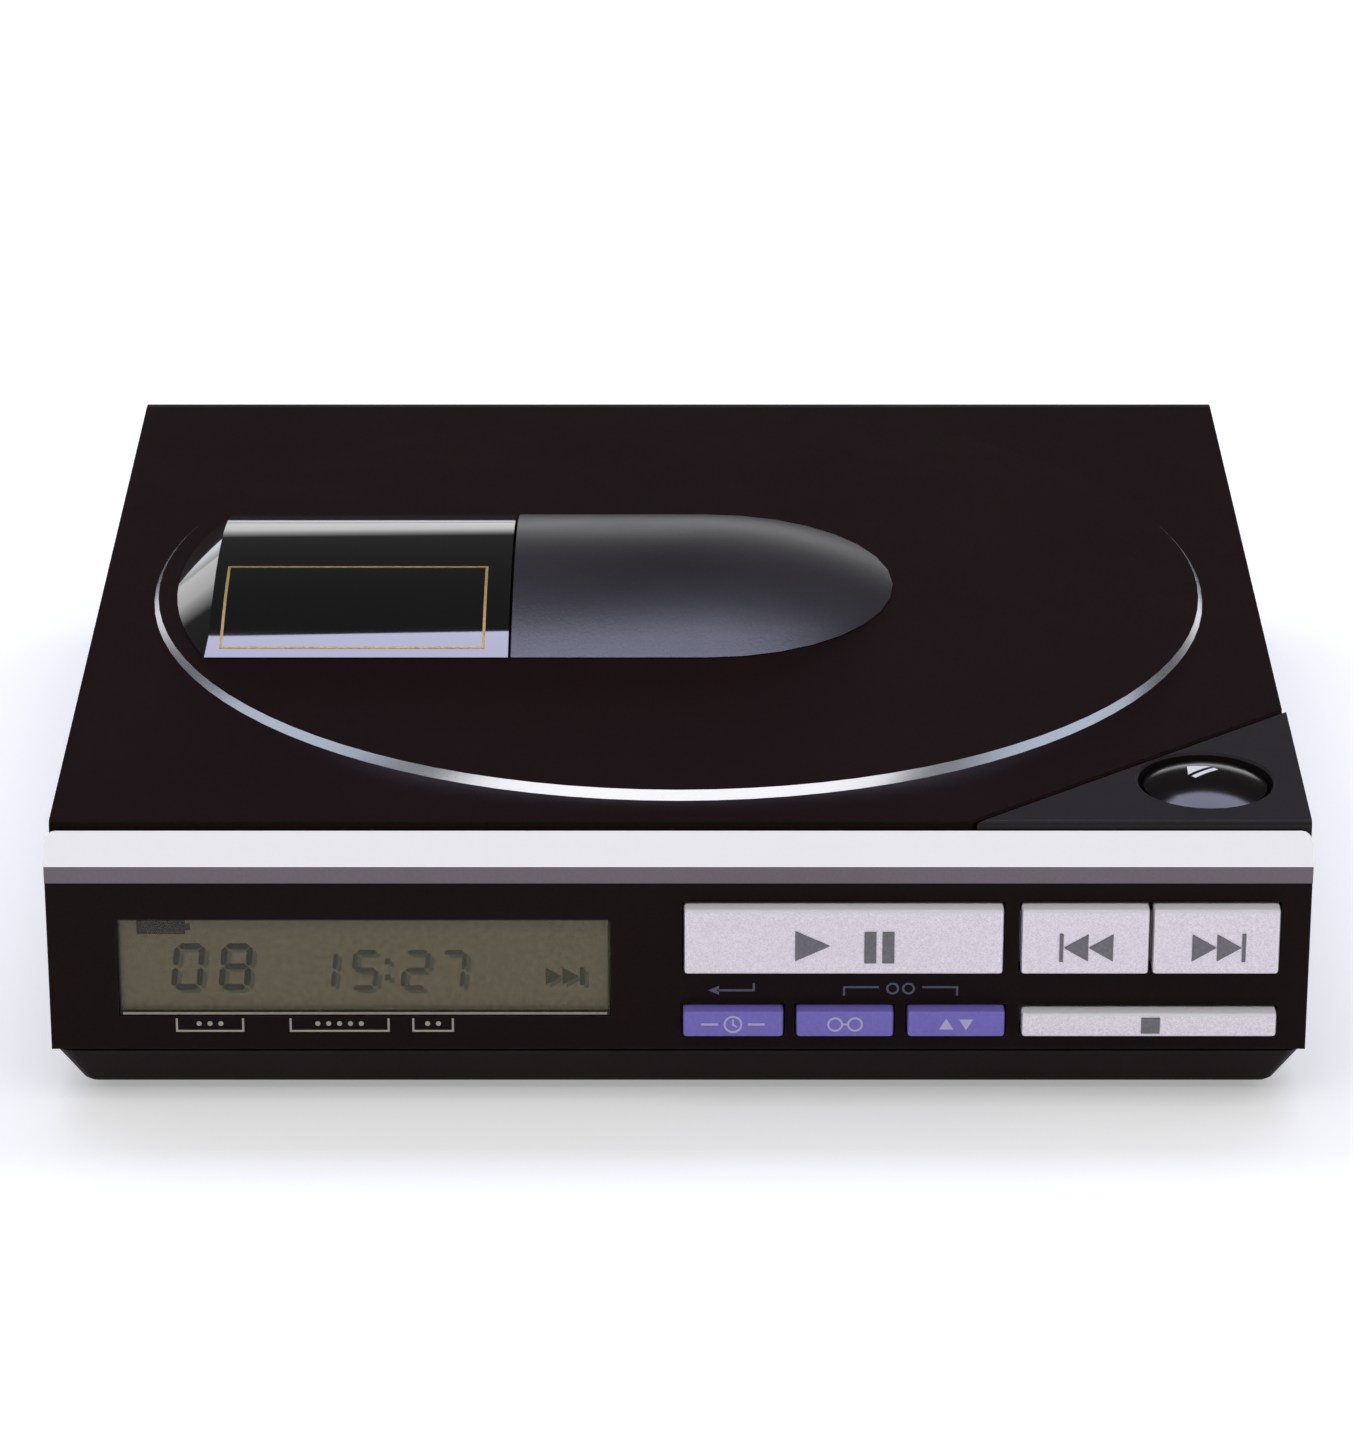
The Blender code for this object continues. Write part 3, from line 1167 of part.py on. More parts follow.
def lid_cover():
    quarter = math.pi / 2
    section = (
        [(DECK_FRONT_Y, LID_UNDER_Z)]
        + lid_front_edge()
        + arc((HINGE_Y, HINGE_Z), LID_ROLL_RADIUS, quarter, 0, TROUGH_SIDES // 4)
        + arc((HINGE_Y, HINGE_Z), ROLL_INNER_RADIUS, 0, quarter, TROUGH_SIDES // 4)
    )
    lid = part("lid_cover", profile_bar(section, (-LID_HALF_WIDTH, LID_HALF_WIDTH)), "brown black")
    skirt = box((SKIRT_INNER_X, LID_HALF_WIDTH), (DECK_FRONT_Y + LID_EDGE_RADIUS, HINGE_Y),
                (DECK_TOP_Z + GAP, LID_UNDER_Z + EMBED))
    disc = rod(LID_ROLL_RADIUS, (SKIRT_INNER_X, LID_HALF_WIDTH), TROUGH_SIDES, (HINGE_Y, HINGE_Z), "X")
    catch = box((-CATCH_FACE - CATCH_THICKNESS, -CATCH_FACE), (-CATCH_HALF_WIDTH, CATCH_HALF_WIDTH),
                (CATCH_BOTTOM_Z, LID_UNDER_Z + EMBED))
    add(
        lid,
        helper("lid skirts", both_sides(skirt)),
        helper("lid end discs", both_sides(disc)),
        helper("plateau", plateau()),
    )
    rear_corner = corner_waste((LID_HALF_WIDTH, HINGE_Y + LID_ROLL_RADIUS), CORNER_RADIUS)
    rear_corners = prism([rear_corner], (HINGE_Z - LID_ROLL_RADIUS - OVERRUN, TOP_Z + OVERRUN))
    cut(
        lid,
        helper("lid corner", prism([lid_corner_cutter()], (DECK_TOP_Z, TOP_Z + OVERRUN))),
        helper("lid groove chamfer", groove_chamfer(-GROOVE_WIDTH, 1)),
        helper("lid rear corners", both_sides(rear_corners)),
    )
    add(lid, helper("catch", along_latch(catch)))
    tooth_room = box((-CATCH_FACE - CATCH_THICKNESS - OVERRUN, 0),
                     (-TOOTH_HALF_WIDTH - GAP, TOOTH_HALF_WIDTH + GAP),
                     (TOOTH_BOTTOM_Z - GAP, TOOTH_TOP_Z + GAP))
    opening = prism([lid_opening_outline()], (LID_UNDER_Z - OVERRUN, TOP_Z + OVERRUN))
    pin_bore = rod(PIN_RADIUS + RUNNING_GAP, (SKIRT_INNER_X - OVERRUN, LID_HALF_WIDTH + OVERRUN),
                   PIN_SIDES, (HINGE_Y, HINGE_Z), "X")
    cut(
        lid,
        helper("tooth room", along_latch(tooth_room)),
        helper("lid opening", opening),
        helper("lid pin bores", both_sides(pin_bore)),
    )


def clamp():
    holder_top = LID_UNDER_Z - GAP
    holder_bottom = holder_top - HOLDER_THICKNESS
    outlines = [
        rounded_rectangle((HOLDER_LEFT, HOLDER_RIGHT), (-HOLDER_HALF_DEPTH, HOLDER_HALF_DEPTH),
                          HOLDER_CORNER),
        circle((0, 0), PUCK_NECK_RADIUS + PUCK_NECK_GAP, BUTTON_SIDES),
    ]
    part("clamp_holder", prism(outlines, (holder_bottom, holder_top)), "matte black")
    puck_bottom = SEAT_Z + DISC_THICKNESS + GAP
    rim_top = puck_bottom + PUCK_RIM_THICKNESS
    flange_bottom = holder_top + PUCK_FLOAT
    flange_top = flange_bottom + PUCK_FLANGE_THICKNESS
    recess_top = SEAT_Z + DISC_THICKNESS + HUB_RISE + PUCK_FLOAT
    profile = [
        (0, flange_top),
        (PUCK_FLANGE_RADIUS, flange_top),
        (PUCK_FLANGE_RADIUS, flange_bottom),
        (PUCK_NECK_RADIUS, flange_bottom),
        (PUCK_NECK_RADIUS, rim_top),
        (PUCK_RADIUS, rim_top),
        (PUCK_RADIUS, puck_bottom),
        (PUCK_RECESS_RADIUS, puck_bottom),
        (PUCK_RECESS_RADIUS, recess_top),
        (0, recess_top),
    ]
    turned("clamp_puck", profile, "white nylon", BUTTON_SIDES)


# Mechanism


PLATE_BOTTOM_Z = 12 * MM
PLATE_THICKNESS = 1.2 * MM
PLATE_TOP_Z = PLATE_BOTTOM_Z + PLATE_THICKNESS
PLATE_LEFT = -59 * MM
PLATE_RIGHT = 21 * MM
PLATE_FRONT = -26 * MM
PLATE_REAR = 58.5 * MM
PLATE_CORNER_ALONG = 74 * MM
PLATE_RIGHT_END = 33 * MM
PLATE_REAR_END = -14 * MM
SLED_HALF_WIDTH = 13 * MM
SLED_HALF_LENGTH = 9 * MM
SLED_CLEARANCE = 0.8 * MM
SLED_BOTTOM_Z = 8 * MM
SLED_TOP_Z = 15 * MM
TOWER_RADIUS = 6 * MM
SHAFT_RADIUS = 1 * MM
SHAFT_ASIDE = 10.5 * MM
SHAFT_Z = 11 * MM
SHAFT_SIDES = 14
BRACKET_LENGTH = 2.4 * MM
BRACKET_HALF_WIDTH = 1.9 * MM
BRACKET_END_GAP = 0.2 * MM
BRACKET_SETBACK = 0.4 * MM

MOTOR_RADIUS = 12.5 * MM
MOTOR_BOTTOM_Z = 6.1 * MM
MOTOR_BOSS_RADIUS = 4 * MM
MOTOR_BOSS_RISE = 0.9 * MM
SPINDLE_RADIUS = 1.2 * MM
SPINDLE_BOTTOM_Z = 7 * MM
SPINDLE_SINK = 1.2 * MM
TABLE_RADIUS = 16 * MM
TABLE_THICKNESS = 0.9 * MM
TABLE_NECK_RADIUS = 4.4 * MM
TABLE_BOTTOM_Z = 14.2 * MM
TABLE_SIDES = 36

MODULE = 0.6 * MM
SMALL_TEETH = 12
RACK_TEETH = 19
RACK_REAR = 7 * MM
RACK_BACK = 1.5 * MM
DRIVE_TEETH = 36
DRIVE_MODULE = 0.5 * MM
MOTOR_TEETH = 10
TOOTH_BACKLASH_SHARE = 0.30
TOOTH_TIP_SHARE = 0.8
TOOTH_ROOT_SHARE = 1.15
TOOTH_FOOT_WIDTH_SHARE = 1.6
TOOTH_TIP_WIDTH_SHARE = 0.55
GEAR_ALONG = 30 * MM
GEAR_MESH_GAP = 0.05 * MM
RACK_Z = (15.3 * MM, 17.0 * MM)
SMALL_GEAR_Z = (15.6 * MM, 17.2 * MM)
BIG_GEAR_Z = (17.2 * MM, 18.7 * MM)
MOTOR_GEAR_Z = (17.0 * MM, 18.9 * MM)
GEAR_HUB_RADIUS = 2.2 * MM
AXLE_RADIUS = 0.9 * MM
AXLE_RISE = 6 * MM
SLED_MOTOR_RADIUS = 6 * MM
SLED_MOTOR_BOTTOM_Z = 6.1 * MM
MOTOR_SHAFT_RADIUS = 0.75 * MM
MOTOR_DIRECTION = 46 * DEGREE

SMALL_PITCH_RADIUS = MODULE * SMALL_TEETH / 2
DRIVE_PITCH_RADIUS = DRIVE_MODULE * DRIVE_TEETH / 2
MOTOR_PITCH_RADIUS = DRIVE_MODULE * MOTOR_TEETH / 2
RACK_PITCH_ASIDE = SLED_HALF_WIDTH + MODULE
GEAR_ASIDE = RACK_PITCH_ASIDE + SMALL_PITCH_RADIUS + GEAR_MESH_GAP
GEAR_CENTRE = SLED_ALONG * GEAR_ALONG + SLED_ASIDE * GEAR_ASIDE
MOTOR_DISTANCE = DRIVE_PITCH_RADIUS + MOTOR_PITCH_RADIUS + GEAR_MESH_GAP
MOTOR_CENTRE = (
    GEAR_CENTRE
    + SLED_ALONG * (MOTOR_DISTANCE * math.cos(MOTOR_DIRECTION))
    + SLED_ASIDE * (MOTOR_DISTANCE * math.sin(MOTOR_DIRECTION))
)
SLED_START = LENS_INNER_RADIUS - SLED_HALF_LENGTH - SLED_CLEARANCE
SLED_END = LENS_INNER_RADIUS + LENS_TRAVEL + SLED_HALF_LENGTH + SLED_CLEARANCE

DAMPER_RADIUS = 3.4 * MM
DAMPER_WAIST = 2.4 * MM
DAMPER_WAIST_SHARES = (0.35, 0.65)
DAMPER_PLACES = {
    "front_left": (-48 * MM, -19 * MM),
    "front_right": (14 * MM, -20 * MM),
    "rear": (8 * MM, 26 * MM),
}
BOARD_LEFT = -57.5 * MM
BOARD_RIGHT = 57.5 * MM
BOARD_FRONT = -51 * MM
BOARD_REAR = 60 * MM
STAND_RADIUS = 3 * MM
CHIP_HEIGHT = 1.1 * MM
# Each chip: its centre and its half width and half depth
CHIPS = (
    ((38 * MM, 30 * MM), (7 * MM, 7 * MM)),
    ((36 * MM, 8 * MM), (6 * MM, 4 * MM)),
    ((-20 * MM, -38 * MM), (5 * MM, 5 * MM)),
    ((10 * MM, -40 * MM), (8 * MM, 4 * MM)),
)


def gear_outline(teeth, module, turn=0.0):
    """A gear's edge. Its teeth are narrowed for backlash and the first one points along X, plus the turn."""
    pitch = module * teeth / 2
    tip = pitch + module * TOOTH_TIP_SHARE
    root = pitch - module * TOOTH_ROOT_SHARE
    step = 2 * math.pi / teeth
    half_pitch = step / 4 * (1 - TOOTH_BACKLASH_SHARE)
    corners = (
        (root, -TOOTH_FOOT_WIDTH_SHARE),
        (tip, -TOOTH_TIP_WIDTH_SHARE),
        (tip, TOOTH_TIP_WIDTH_SHARE),
        (root, TOOTH_FOOT_WIDTH_SHARE),
    )
    points = []
    for tooth in range(teeth):
        middle = turn + tooth * step
        for radius, share in corners:
            angle = middle + half_pitch * share
            points.append((radius * math.cos(angle), radius * math.sin(angle)))
    return points


def rack_outline():
    """The rack's edge, with its teeth pointing away from the sled. X zero is the lens."""
    pitch = math.pi * MODULE
    side = pitch / 4 * (1 - TOOTH_BACKLASH_SHARE)
    tip = RACK_PITCH_ASIDE + MODULE * TOOTH_TIP_SHARE
    root = RACK_PITCH_ASIDE - MODULE * TOOTH_ROOT_SHARE
    last = RACK_REAR - pitch / 2
    corners = (
        (root, TOOTH_FOOT_WIDTH_SHARE),
        (tip, TOOTH_TIP_WIDTH_SHARE),
        (tip, -TOOTH_TIP_WIDTH_SHARE),
        (root, -TOOTH_FOOT_WIDTH_SHARE),
    )
    points = [(RACK_REAR, root - RACK_BACK), (RACK_REAR, root)]
    for tooth in range(RACK_TEETH):
        middle = last - tooth * pitch
        for height, share in corners:
            points.append((middle + side * share, height))
    end = last - RACK_TEETH * pitch + pitch / 2
    return points + [(end, root), (end, root - RACK_BACK)]


def mesh_turn():
    """The small gear's turn that puts a tooth gap on the rack tooth nearest to it, in world angles."""
    pitch = math.pi * MODULE
    last = LENS_INNER_RADIUS + RACK_REAR - pitch / 2
    offset = (GEAR_ALONG - last) / pitch
    nearest = last + round(offset) * pitch
    slip = (nearest - GEAR_ALONG) / SMALL_PITCH_RADIUS
    towards_rack = SLED_ANGLE - math.pi / 2
    return towards_rack + slip + math.pi / SMALL_TEETH


def motor_turn():
    """The motor pinion's turn that puts one of its gaps on the big gear's tooth nearest to it."""
    towards_motor = SLED_ANGLE + MOTOR_DIRECTION
    step = 2 * math.pi / DRIVE_TEETH
    teeth_round = round((towards_motor - mesh_turn()) / step)
    slip = mesh_turn() + teeth_round * step - towards_motor
    back = towards_motor + math.pi
    return back - slip * DRIVE_TEETH / MOTOR_TEETH + math.pi / MOTOR_TEETH


def mech_plate():
    corner = SLED_ALONG * PLATE_CORNER_ALONG
    cut_length = PLATE_CORNER_ALONG * math.sqrt(2)
    outline = [
        (PLATE_LEFT, PLATE_FRONT),
        (PLATE_RIGHT, PLATE_FRONT),
        (PLATE_RIGHT, PLATE_RIGHT_END),
        (PLATE_REAR_END, PLATE_REAR),
        (PLATE_REAR - cut_length, PLATE_REAR),
        (PLATE_LEFT, PLATE_LEFT + cut_length),
    ]
    plate = part("mech_plate", prism([outline], (PLATE_BOTTOM_Z, PLATE_TOP_Z)), "zinc plate")
    half = SLED_HALF_WIDTH + SLED_CLEARANCE
    opening = box((SLED_START, SLED_END), (-half, half), (PLATE_BOTTOM_Z - OVERRUN, PLATE_TOP_Z + OVERRUN))
    cut(plate, helper("sled opening", along_sled(opening)))
    for side in (-1, 1):
        for place, name in ((SLED_START, "inner"), (SLED_END, "outer")):
            away = -1 if name == "inner" else 1
            start = place + away * BRACKET_SETBACK
            ends = sorted((start, start + away * BRACKET_LENGTH))
            middle = side * SHAFT_ASIDE
            bracket = box(ends, (middle - BRACKET_HALF_WIDTH, middle + BRACKET_HALF_WIDTH),
                          (SHAFT_Z - BRACKET_HALF_WIDTH, PLATE_BOTTOM_Z + EMBED))
            add(plate, helper("bracket %s %d" % (name, side), along_sled(bracket)))
            bore = rod(SHAFT_RADIUS + RUNNING_GAP, (ends[0] - OVERRUN, ends[1] + OVERRUN), SHAFT_SIDES,
                       (middle, SHAFT_Z), "X")
            cut(plate, helper("bracket bore %s %d" % (name, side), along_sled(bore)))
    spindle_hole = rod(MOTOR_BOSS_RADIUS + GAP, (PLATE_BOTTOM_Z - OVERRUN, PLATE_TOP_Z + OVERRUN),
                       MEDIUM_SIDES)
    pinion_hole = rod(MOTOR_SHAFT_RADIUS + GAP, (PLATE_BOTTOM_Z - OVERRUN, PLATE_TOP_Z + OVERRUN),
                      SHAFT_SIDES, MOTOR_CENTRE)
    cut(plate, helper("spindle hole", spindle_hole), helper("pinion hole", pinion_hole))
    axle = rod(AXLE_RADIUS, (PLATE_TOP_Z - EMBED, PLATE_TOP_Z + AXLE_RISE), SHAFT_SIDES, GEAR_CENTRE)
    add(plate, helper("gear axle", axle))


def guide_shafts():
    beyond = BRACKET_SETBACK + BRACKET_LENGTH - BRACKET_END_GAP
    ends = (SLED_START - beyond, SLED_END + beyond)
    for name, side in (("front", 1), ("rear", -1)):
        shaft = rod(SHAFT_RADIUS, ends, SHAFT_SIDES, (side * SHAFT_ASIDE, SHAFT_Z), "X")
        part("guide_shaft_" + name, along_sled(shaft), "steel")


def pickup():
    block = box((-SLED_HALF_LENGTH, SLED_HALF_LENGTH), (-SLED_HALF_WIDTH, SLED_HALF_WIDTH),
                (SLED_BOTTOM_Z, SLED_TOP_Z))
    lens_place = SLED_ALONG * LENS_INNER_RADIUS
    at = (lens_place.x, lens_place.y, 0)
    turn = (0, 0, SLED_ANGLE)
    sled = part("pickup_sled", block, "pickup grey", at=at, turn=turn)
    tower = rod(TOWER_RADIUS, (SLED_TOP_Z - EMBED, CARRIER_TOP_Z - GAP), MEDIUM_SIDES)
    add(sled, helper("lens tower", tower, at=at, turn=turn))
    for side in (-1, 1):
        bore = rod(SHAFT_RADIUS + RUNNING_GAP, (-SLED_HALF_LENGTH - OVERRUN, SLED_HALF_LENGTH + OVERRUN),
                   SHAFT_SIDES, (side * SHAFT_ASIDE, SHAFT_Z), "X")
        cut(sled, helper("sled bore %d" % side, bore, at=at, turn=turn))
    bottom = CARRIER_TOP_Z
    top = TRAY_TOP_Z - GAP
    profile = [
        (0, top),
        (LENS_FACE_RADIUS, top - LENS_FACE_DROP),
        (LENS_RIM_RADIUS, top - LENS_RIM_DROP),
        (LENS_RADIUS, top - LENS_RIM_DROP),
        (LENS_RADIUS, bottom),
        (0, bottom),
    ]
    turned("objective_lens", profile, "lens blue", MEDIUM_SIDES, at=at, turn=turn)
    part("sled_rack", prism([rack_outline()], RACK_Z), "white nylon", at=at, turn=turn)


def gears():
    at = (GEAR_CENTRE.x, GEAR_CENTRE.y, 0)
    drive = part("drive_gear", prism([gear_outline(DRIVE_TEETH, DRIVE_MODULE, mesh_turn())], BIG_GEAR_Z),
                 "white nylon", at=at)
    small = prism([gear_outline(SMALL_TEETH, MODULE, mesh_turn())],
                  (SMALL_GEAR_Z[0], SMALL_GEAR_Z[1] + EMBED))
    hub = rod(GEAR_HUB_RADIUS, (PLATE_TOP_Z + GAP, SMALL_GEAR_Z[0] + EMBED), SHAFT_SIDES)
    add(drive, helper("small gear", small, at=at), helper("gear hub", hub, at=at))
    bore = rod(AXLE_RADIUS + RUNNING_GAP, (PLATE_TOP_Z - OVERRUN, BIG_GEAR_Z[1] + OVERRUN), SHAFT_SIDES)
    cut(drive, helper("gear bore", bore, at=at))
    at = (MOTOR_CENTRE.x, MOTOR_CENTRE.y, 0)
    pinion = part("motor_pinion", prism([gear_outline(MOTOR_TEETH, DRIVE_MODULE, motor_turn())],
                                        MOTOR_GEAR_Z), "brass", at=at)
    shaft = rod(MOTOR_SHAFT_RADIUS, (PLATE_BOTTOM_Z, MOTOR_GEAR_Z[0] + EMBED), SHAFT_SIDES)
    add(pinion, helper("pinion shaft", shaft, at=at))
    profile = [
        (0, PLATE_BOTTOM_Z - GAP),
        (SLED_MOTOR_RADIUS, PLATE_BOTTOM_Z - GAP),
        (SLED_MOTOR_RADIUS, SLED_MOTOR_BOTTOM_Z),
        (0, SLED_MOTOR_BOTTOM_Z),
    ]
    turned("sled_motor", profile, "motor can", MEDIUM_SIDES, at=at)


def spindle():
    can_top = PLATE_BOTTOM_Z - GAP
    boss_top = can_top + MOTOR_BOSS_RISE
    bore = SPINDLE_RADIUS + RUNNING_GAP
    profile = [
        (bore, boss_top),
        (MOTOR_BOSS_RADIUS, boss_top),
        (MOTOR_BOSS_RADIUS, can_top),
        (MOTOR_RADIUS, can_top),
        (MOTOR_RADIUS, MOTOR_BOTTOM_Z),
        (bore, MOTOR_BOTTOM_Z),
    ]
    turned("spindle_motor", profile, "motor can", TABLE_SIDES, closed=True)
    hub_top = SEAT_Z + DISC_THICKNESS + HUB_RISE
    sink = hub_top - SPINDLE_SINK
    profile = [
        (bore, sink),
        (bore + RUNNING_GAP, hub_top),
        (HUB_RADIUS - HUB_CHAMFER, hub_top),
        (HUB_RADIUS, hub_top - HUB_CHAMFER),
        (HUB_RADIUS, SEAT_Z),
        (TABLE_RADIUS, SEAT_Z),
        (TABLE_RADIUS, SEAT_Z - TABLE_THICKNESS),
        (TABLE_NECK_RADIUS, SEAT_Z - TABLE_THICKNESS),
        (TABLE_NECK_RADIUS, TABLE_BOTTOM_Z),
        (bore, TABLE_BOTTOM_Z),
    ]
    turned("turntable", profile, "motor can", TABLE_SIDES, closed=True)
    part("spindle_shaft", rod(SPINDLE_RADIUS, (SPINDLE_BOTTOM_Z, sink), SHAFT_SIDES), "steel")


def dampers():
    for name, (x, y) in DAMPER_PLACES.items():
        low = FLOOR_Z + GAP
        high = PLATE_BOTTOM_Z - GAP
        waist = [low + (high - low) * share for share in DAMPER_WAIST_SHARES]
        profile = [
            (0, high),
            (DAMPER_RADIUS, high),
            (DAMPER_WAIST, waist[1]),
            (DAMPER_WAIST, waist[0]),
            (DAMPER_RADIUS, low),
            (0, low),
        ]
        turned("damper_" + name, profile, "rubber", MEDIUM_SIDES, at=(x, y, 0))


def main_board():
    bottom = BOARD_TOP_Z - BOARD_THICKNESS
    outlines = [rectangle((BOARD_LEFT, BOARD_RIGHT), (BOARD_FRONT, BOARD_REAR))]
    for place in DAMPER_PLACES.values():
        outlines.append(circle(place, DAMPER_RADIUS + GAP, MEDIUM_SIDES))
    board = part("main_board", prism(outlines, (bottom, BOARD_TOP_Z)), "green board")
    for name, (x, y) in SCREW_PLACES.items():
        hole = rod(BOSS_RADIUS + GAP, (bottom - OVERRUN, BOARD_TOP_Z + OVERRUN), MEDIUM_SIDES, (x, y))
        cut(board, helper("board hole " + name, hole))
    for index, (place, half) in enumerate(CHIPS):
        chip = box((place[0] - half[0], place[0] + half[0]), (place[1] - half[1], place[1] + half[1]),
                   (BOARD_TOP_Z - EMBED, BOARD_TOP_Z + CHIP_HEIGHT))
        add(board, helper("chip %d" % index, chip))


# Volume control and sockets


def volume_control():
    at = (WHEEL_X, WHEEL_Y, 0)
    half = WHEEL_THICKNESS / 2
    edge = (
        (0, WHEEL_RADIUS),
        (WHEEL_LAND_SHARE, WHEEL_RADIUS),
        (WHEEL_NOTCH_SHARE, WHEEL_RADIUS - WHEEL_NOTCH_DEPTH),
    )
    points = []
    for step in range(WHEEL_NOTCHES):
        for share, radius in edge:
            angle = 2 * math.pi * (step + share) / WHEEL_NOTCHES
            points.append((radius * math.cos(angle), radius * math.sin(angle)))
    bore = circle((0, 0), WHEEL_BORE_RADIUS + RUNNING_GAP, SHAFT_SIDES)
    part("volume_wheel", prism([points, bore], (WHEEL_Z - half, WHEEL_Z + half)), "matte black", at=at)
    body_top = WHEEL_Z - half - POT_TOP_GAP
    profile = [
        (0, WHEEL_Z + half - GAP),
        (WHEEL_BORE_RADIUS, WHEEL_Z + half - GAP),
        (WHEEL_BORE_RADIUS, body_top),
        (POT_RADIUS, body_top),
        (POT_RADIUS, BOARD_TOP_Z + GAP),
        (0, BOARD_TOP_Z + GAP),
    ]
    turned("volume_pot", profile, "steel", MEDIUM_SIDES, at=at)


def socket(name, face, direction, across, nose_radius, bore_radius, bore_depth, pin_radius=0.0):
    """A socket whose bore opens at a side. Direction is that side's axis and its sign is outward."""
    axis = direction[-1]
    sign = -1 if direction.startswith("-") else 1
    inner_wall = face - sign * (CASE_WALL + GAP)
    back = inner_wall - sign * JACK_BODY_LENGTH
    along = tuple(sorted((back, inner_wall)))
    half = JACK_BODY_WIDTH / 2
    height = JACK_BODY_HEIGHT / 2
    sideways = (across - half, across + half)
    upright = (JACK_Z - height, JACK_Z + height)
    body = box(along, sideways, upright) if axis == "X" else box(sideways, along, upright)
    jack = part(name, body, "matte black")
    nose_ends = tuple(sorted((inner_wall - sign * EMBED, face - sign * JACK_INSET)))
    add(jack, helper(name + " nose", rod(nose_radius, nose_ends, JACK_SIDES, (across, JACK_Z), axis)))
    bore_end = face - sign * bore_depth
    bore_ends = tuple(sorted((bore_end, face + sign * OVERRUN)))
    cut(jack, helper(name + " bore", rod(bore_radius, bore_ends, JACK_SIDES, (across, JACK_Z), axis)))
    if pin_radius > 0:
        pin_ends = tuple(sorted((bore_end - sign * EMBED, face - sign * DC_PIN_INSET)))
        add(jack, helper(name + " pin", rod(pin_radius, pin_ends, SHAFT_SIDES, (across, JACK_Z), axis)))


def sockets():
    socket("headphone_jack", HALF_WIDTH, "X", HEADPHONE_Y, JACK_NOSE_RADIUS, JACK_BORE_RADIUS,
           JACK_BORE_DEPTH)
    socket("line_out_jack", REAR_Y, "Y", REAR_LINE_X, JACK_NOSE_RADIUS, JACK_BORE_RADIUS, JACK_BORE_DEPTH)
    socket("dc_jack", REAR_Y, "Y", REAR_DC_X, DC_NOSE_RADIUS, DC_BORE_RADIUS, DC_BORE_DEPTH, DC_PIN_RADIUS)


bottom_case()
feet()
case_screws()
front_panel()
front_trim()
display()
keys()
key_board()
top_deck()
disc_tray()
hinge_pins()
open_button()
latch()
lid_cover()
pill_part("lid_window", window_form, "smoked window")
pill_part("lid_bulge", bulge_form, "grey bulge")
clamp()
mech_plate()
guide_shafts()
pickup()
gears()
spindle()
dampers()
main_board()
volume_control()
sockets()
pivot("lid hinge", (0, HINGE_Y, HINGE_Z), "lid_cover", "lid_window", "lid_bulge", "clamp_holder",
      "clamp_puck")
pivot("latch slide", (LATCH_ORIGIN.x, LATCH_ORIGIN.y, LATCH_BOTTOM_Z), "latch_slider")
pivot("sled slide", (*(SLED_ALONG * LENS_INNER_RADIUS), SHAFT_Z), "pickup_sled", "objective_lens",
      "sled_rack")
pivot("spindle spin", (0, 0, SEAT_Z), "turntable", "spindle_shaft")
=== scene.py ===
# Portable disc player with a hinged lid: finishes, printing and raised signs round the imported model
import math

import bmesh
import bpy
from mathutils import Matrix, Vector
from mathutils.bvhtree import BVHTree


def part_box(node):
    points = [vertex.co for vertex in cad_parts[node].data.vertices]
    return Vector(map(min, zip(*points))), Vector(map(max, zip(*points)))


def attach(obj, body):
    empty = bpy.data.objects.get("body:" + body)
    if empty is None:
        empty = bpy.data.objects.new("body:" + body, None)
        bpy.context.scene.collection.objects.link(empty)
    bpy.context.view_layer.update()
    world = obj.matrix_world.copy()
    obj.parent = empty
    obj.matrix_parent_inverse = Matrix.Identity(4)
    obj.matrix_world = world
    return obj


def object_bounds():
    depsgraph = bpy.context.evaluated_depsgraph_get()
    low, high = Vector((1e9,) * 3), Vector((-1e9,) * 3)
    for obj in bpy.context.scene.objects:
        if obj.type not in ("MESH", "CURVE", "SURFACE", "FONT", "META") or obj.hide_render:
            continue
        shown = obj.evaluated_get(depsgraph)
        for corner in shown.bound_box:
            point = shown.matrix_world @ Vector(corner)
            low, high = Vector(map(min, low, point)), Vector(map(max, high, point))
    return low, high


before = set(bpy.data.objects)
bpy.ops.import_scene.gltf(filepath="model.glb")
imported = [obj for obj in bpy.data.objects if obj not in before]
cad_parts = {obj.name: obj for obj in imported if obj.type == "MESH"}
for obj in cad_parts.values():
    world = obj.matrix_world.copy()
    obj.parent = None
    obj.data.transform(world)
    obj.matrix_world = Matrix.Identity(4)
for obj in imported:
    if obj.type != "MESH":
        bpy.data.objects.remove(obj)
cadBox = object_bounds()
mm = 0.001


# Small helpers: places, flat marks and meshes
marks = {"height": 0.03, "sink": 0.01, "drapedSink": 0.02, "drapedStep": 1.0, "narrowestMitre": 0.3,
         "bevelSegments": 2, "bevelTurn": 40}

# A face is given by its own right, up and outward directions
faces = {
    "front": (Vector((1, 0, 0)), Vector((0, 0, 1)), Vector((0, -1, 0))),
    "rear": (Vector((-1, 0, 0)), Vector((0, 0, 1)), Vector((0, 1, 0))),
    "right": (Vector((0, 1, 0)), Vector((0, 0, 1)), Vector((1, 0, 0))),
    "top": (Vector((1, 0, 0)), Vector((0, 1, 0)), Vector((0, 0, 1))),
}


def circlePoints(centre, radius, sides=20, start=0.0, sweep=2 * math.pi):
    count = sides if sweep >= 2 * math.pi else sides + 1
    return [(centre[0] + radius * math.cos(start + sweep * i / sides),
             centre[1] + radius * math.sin(start + sweep * i / sides)) for i in range(count)]


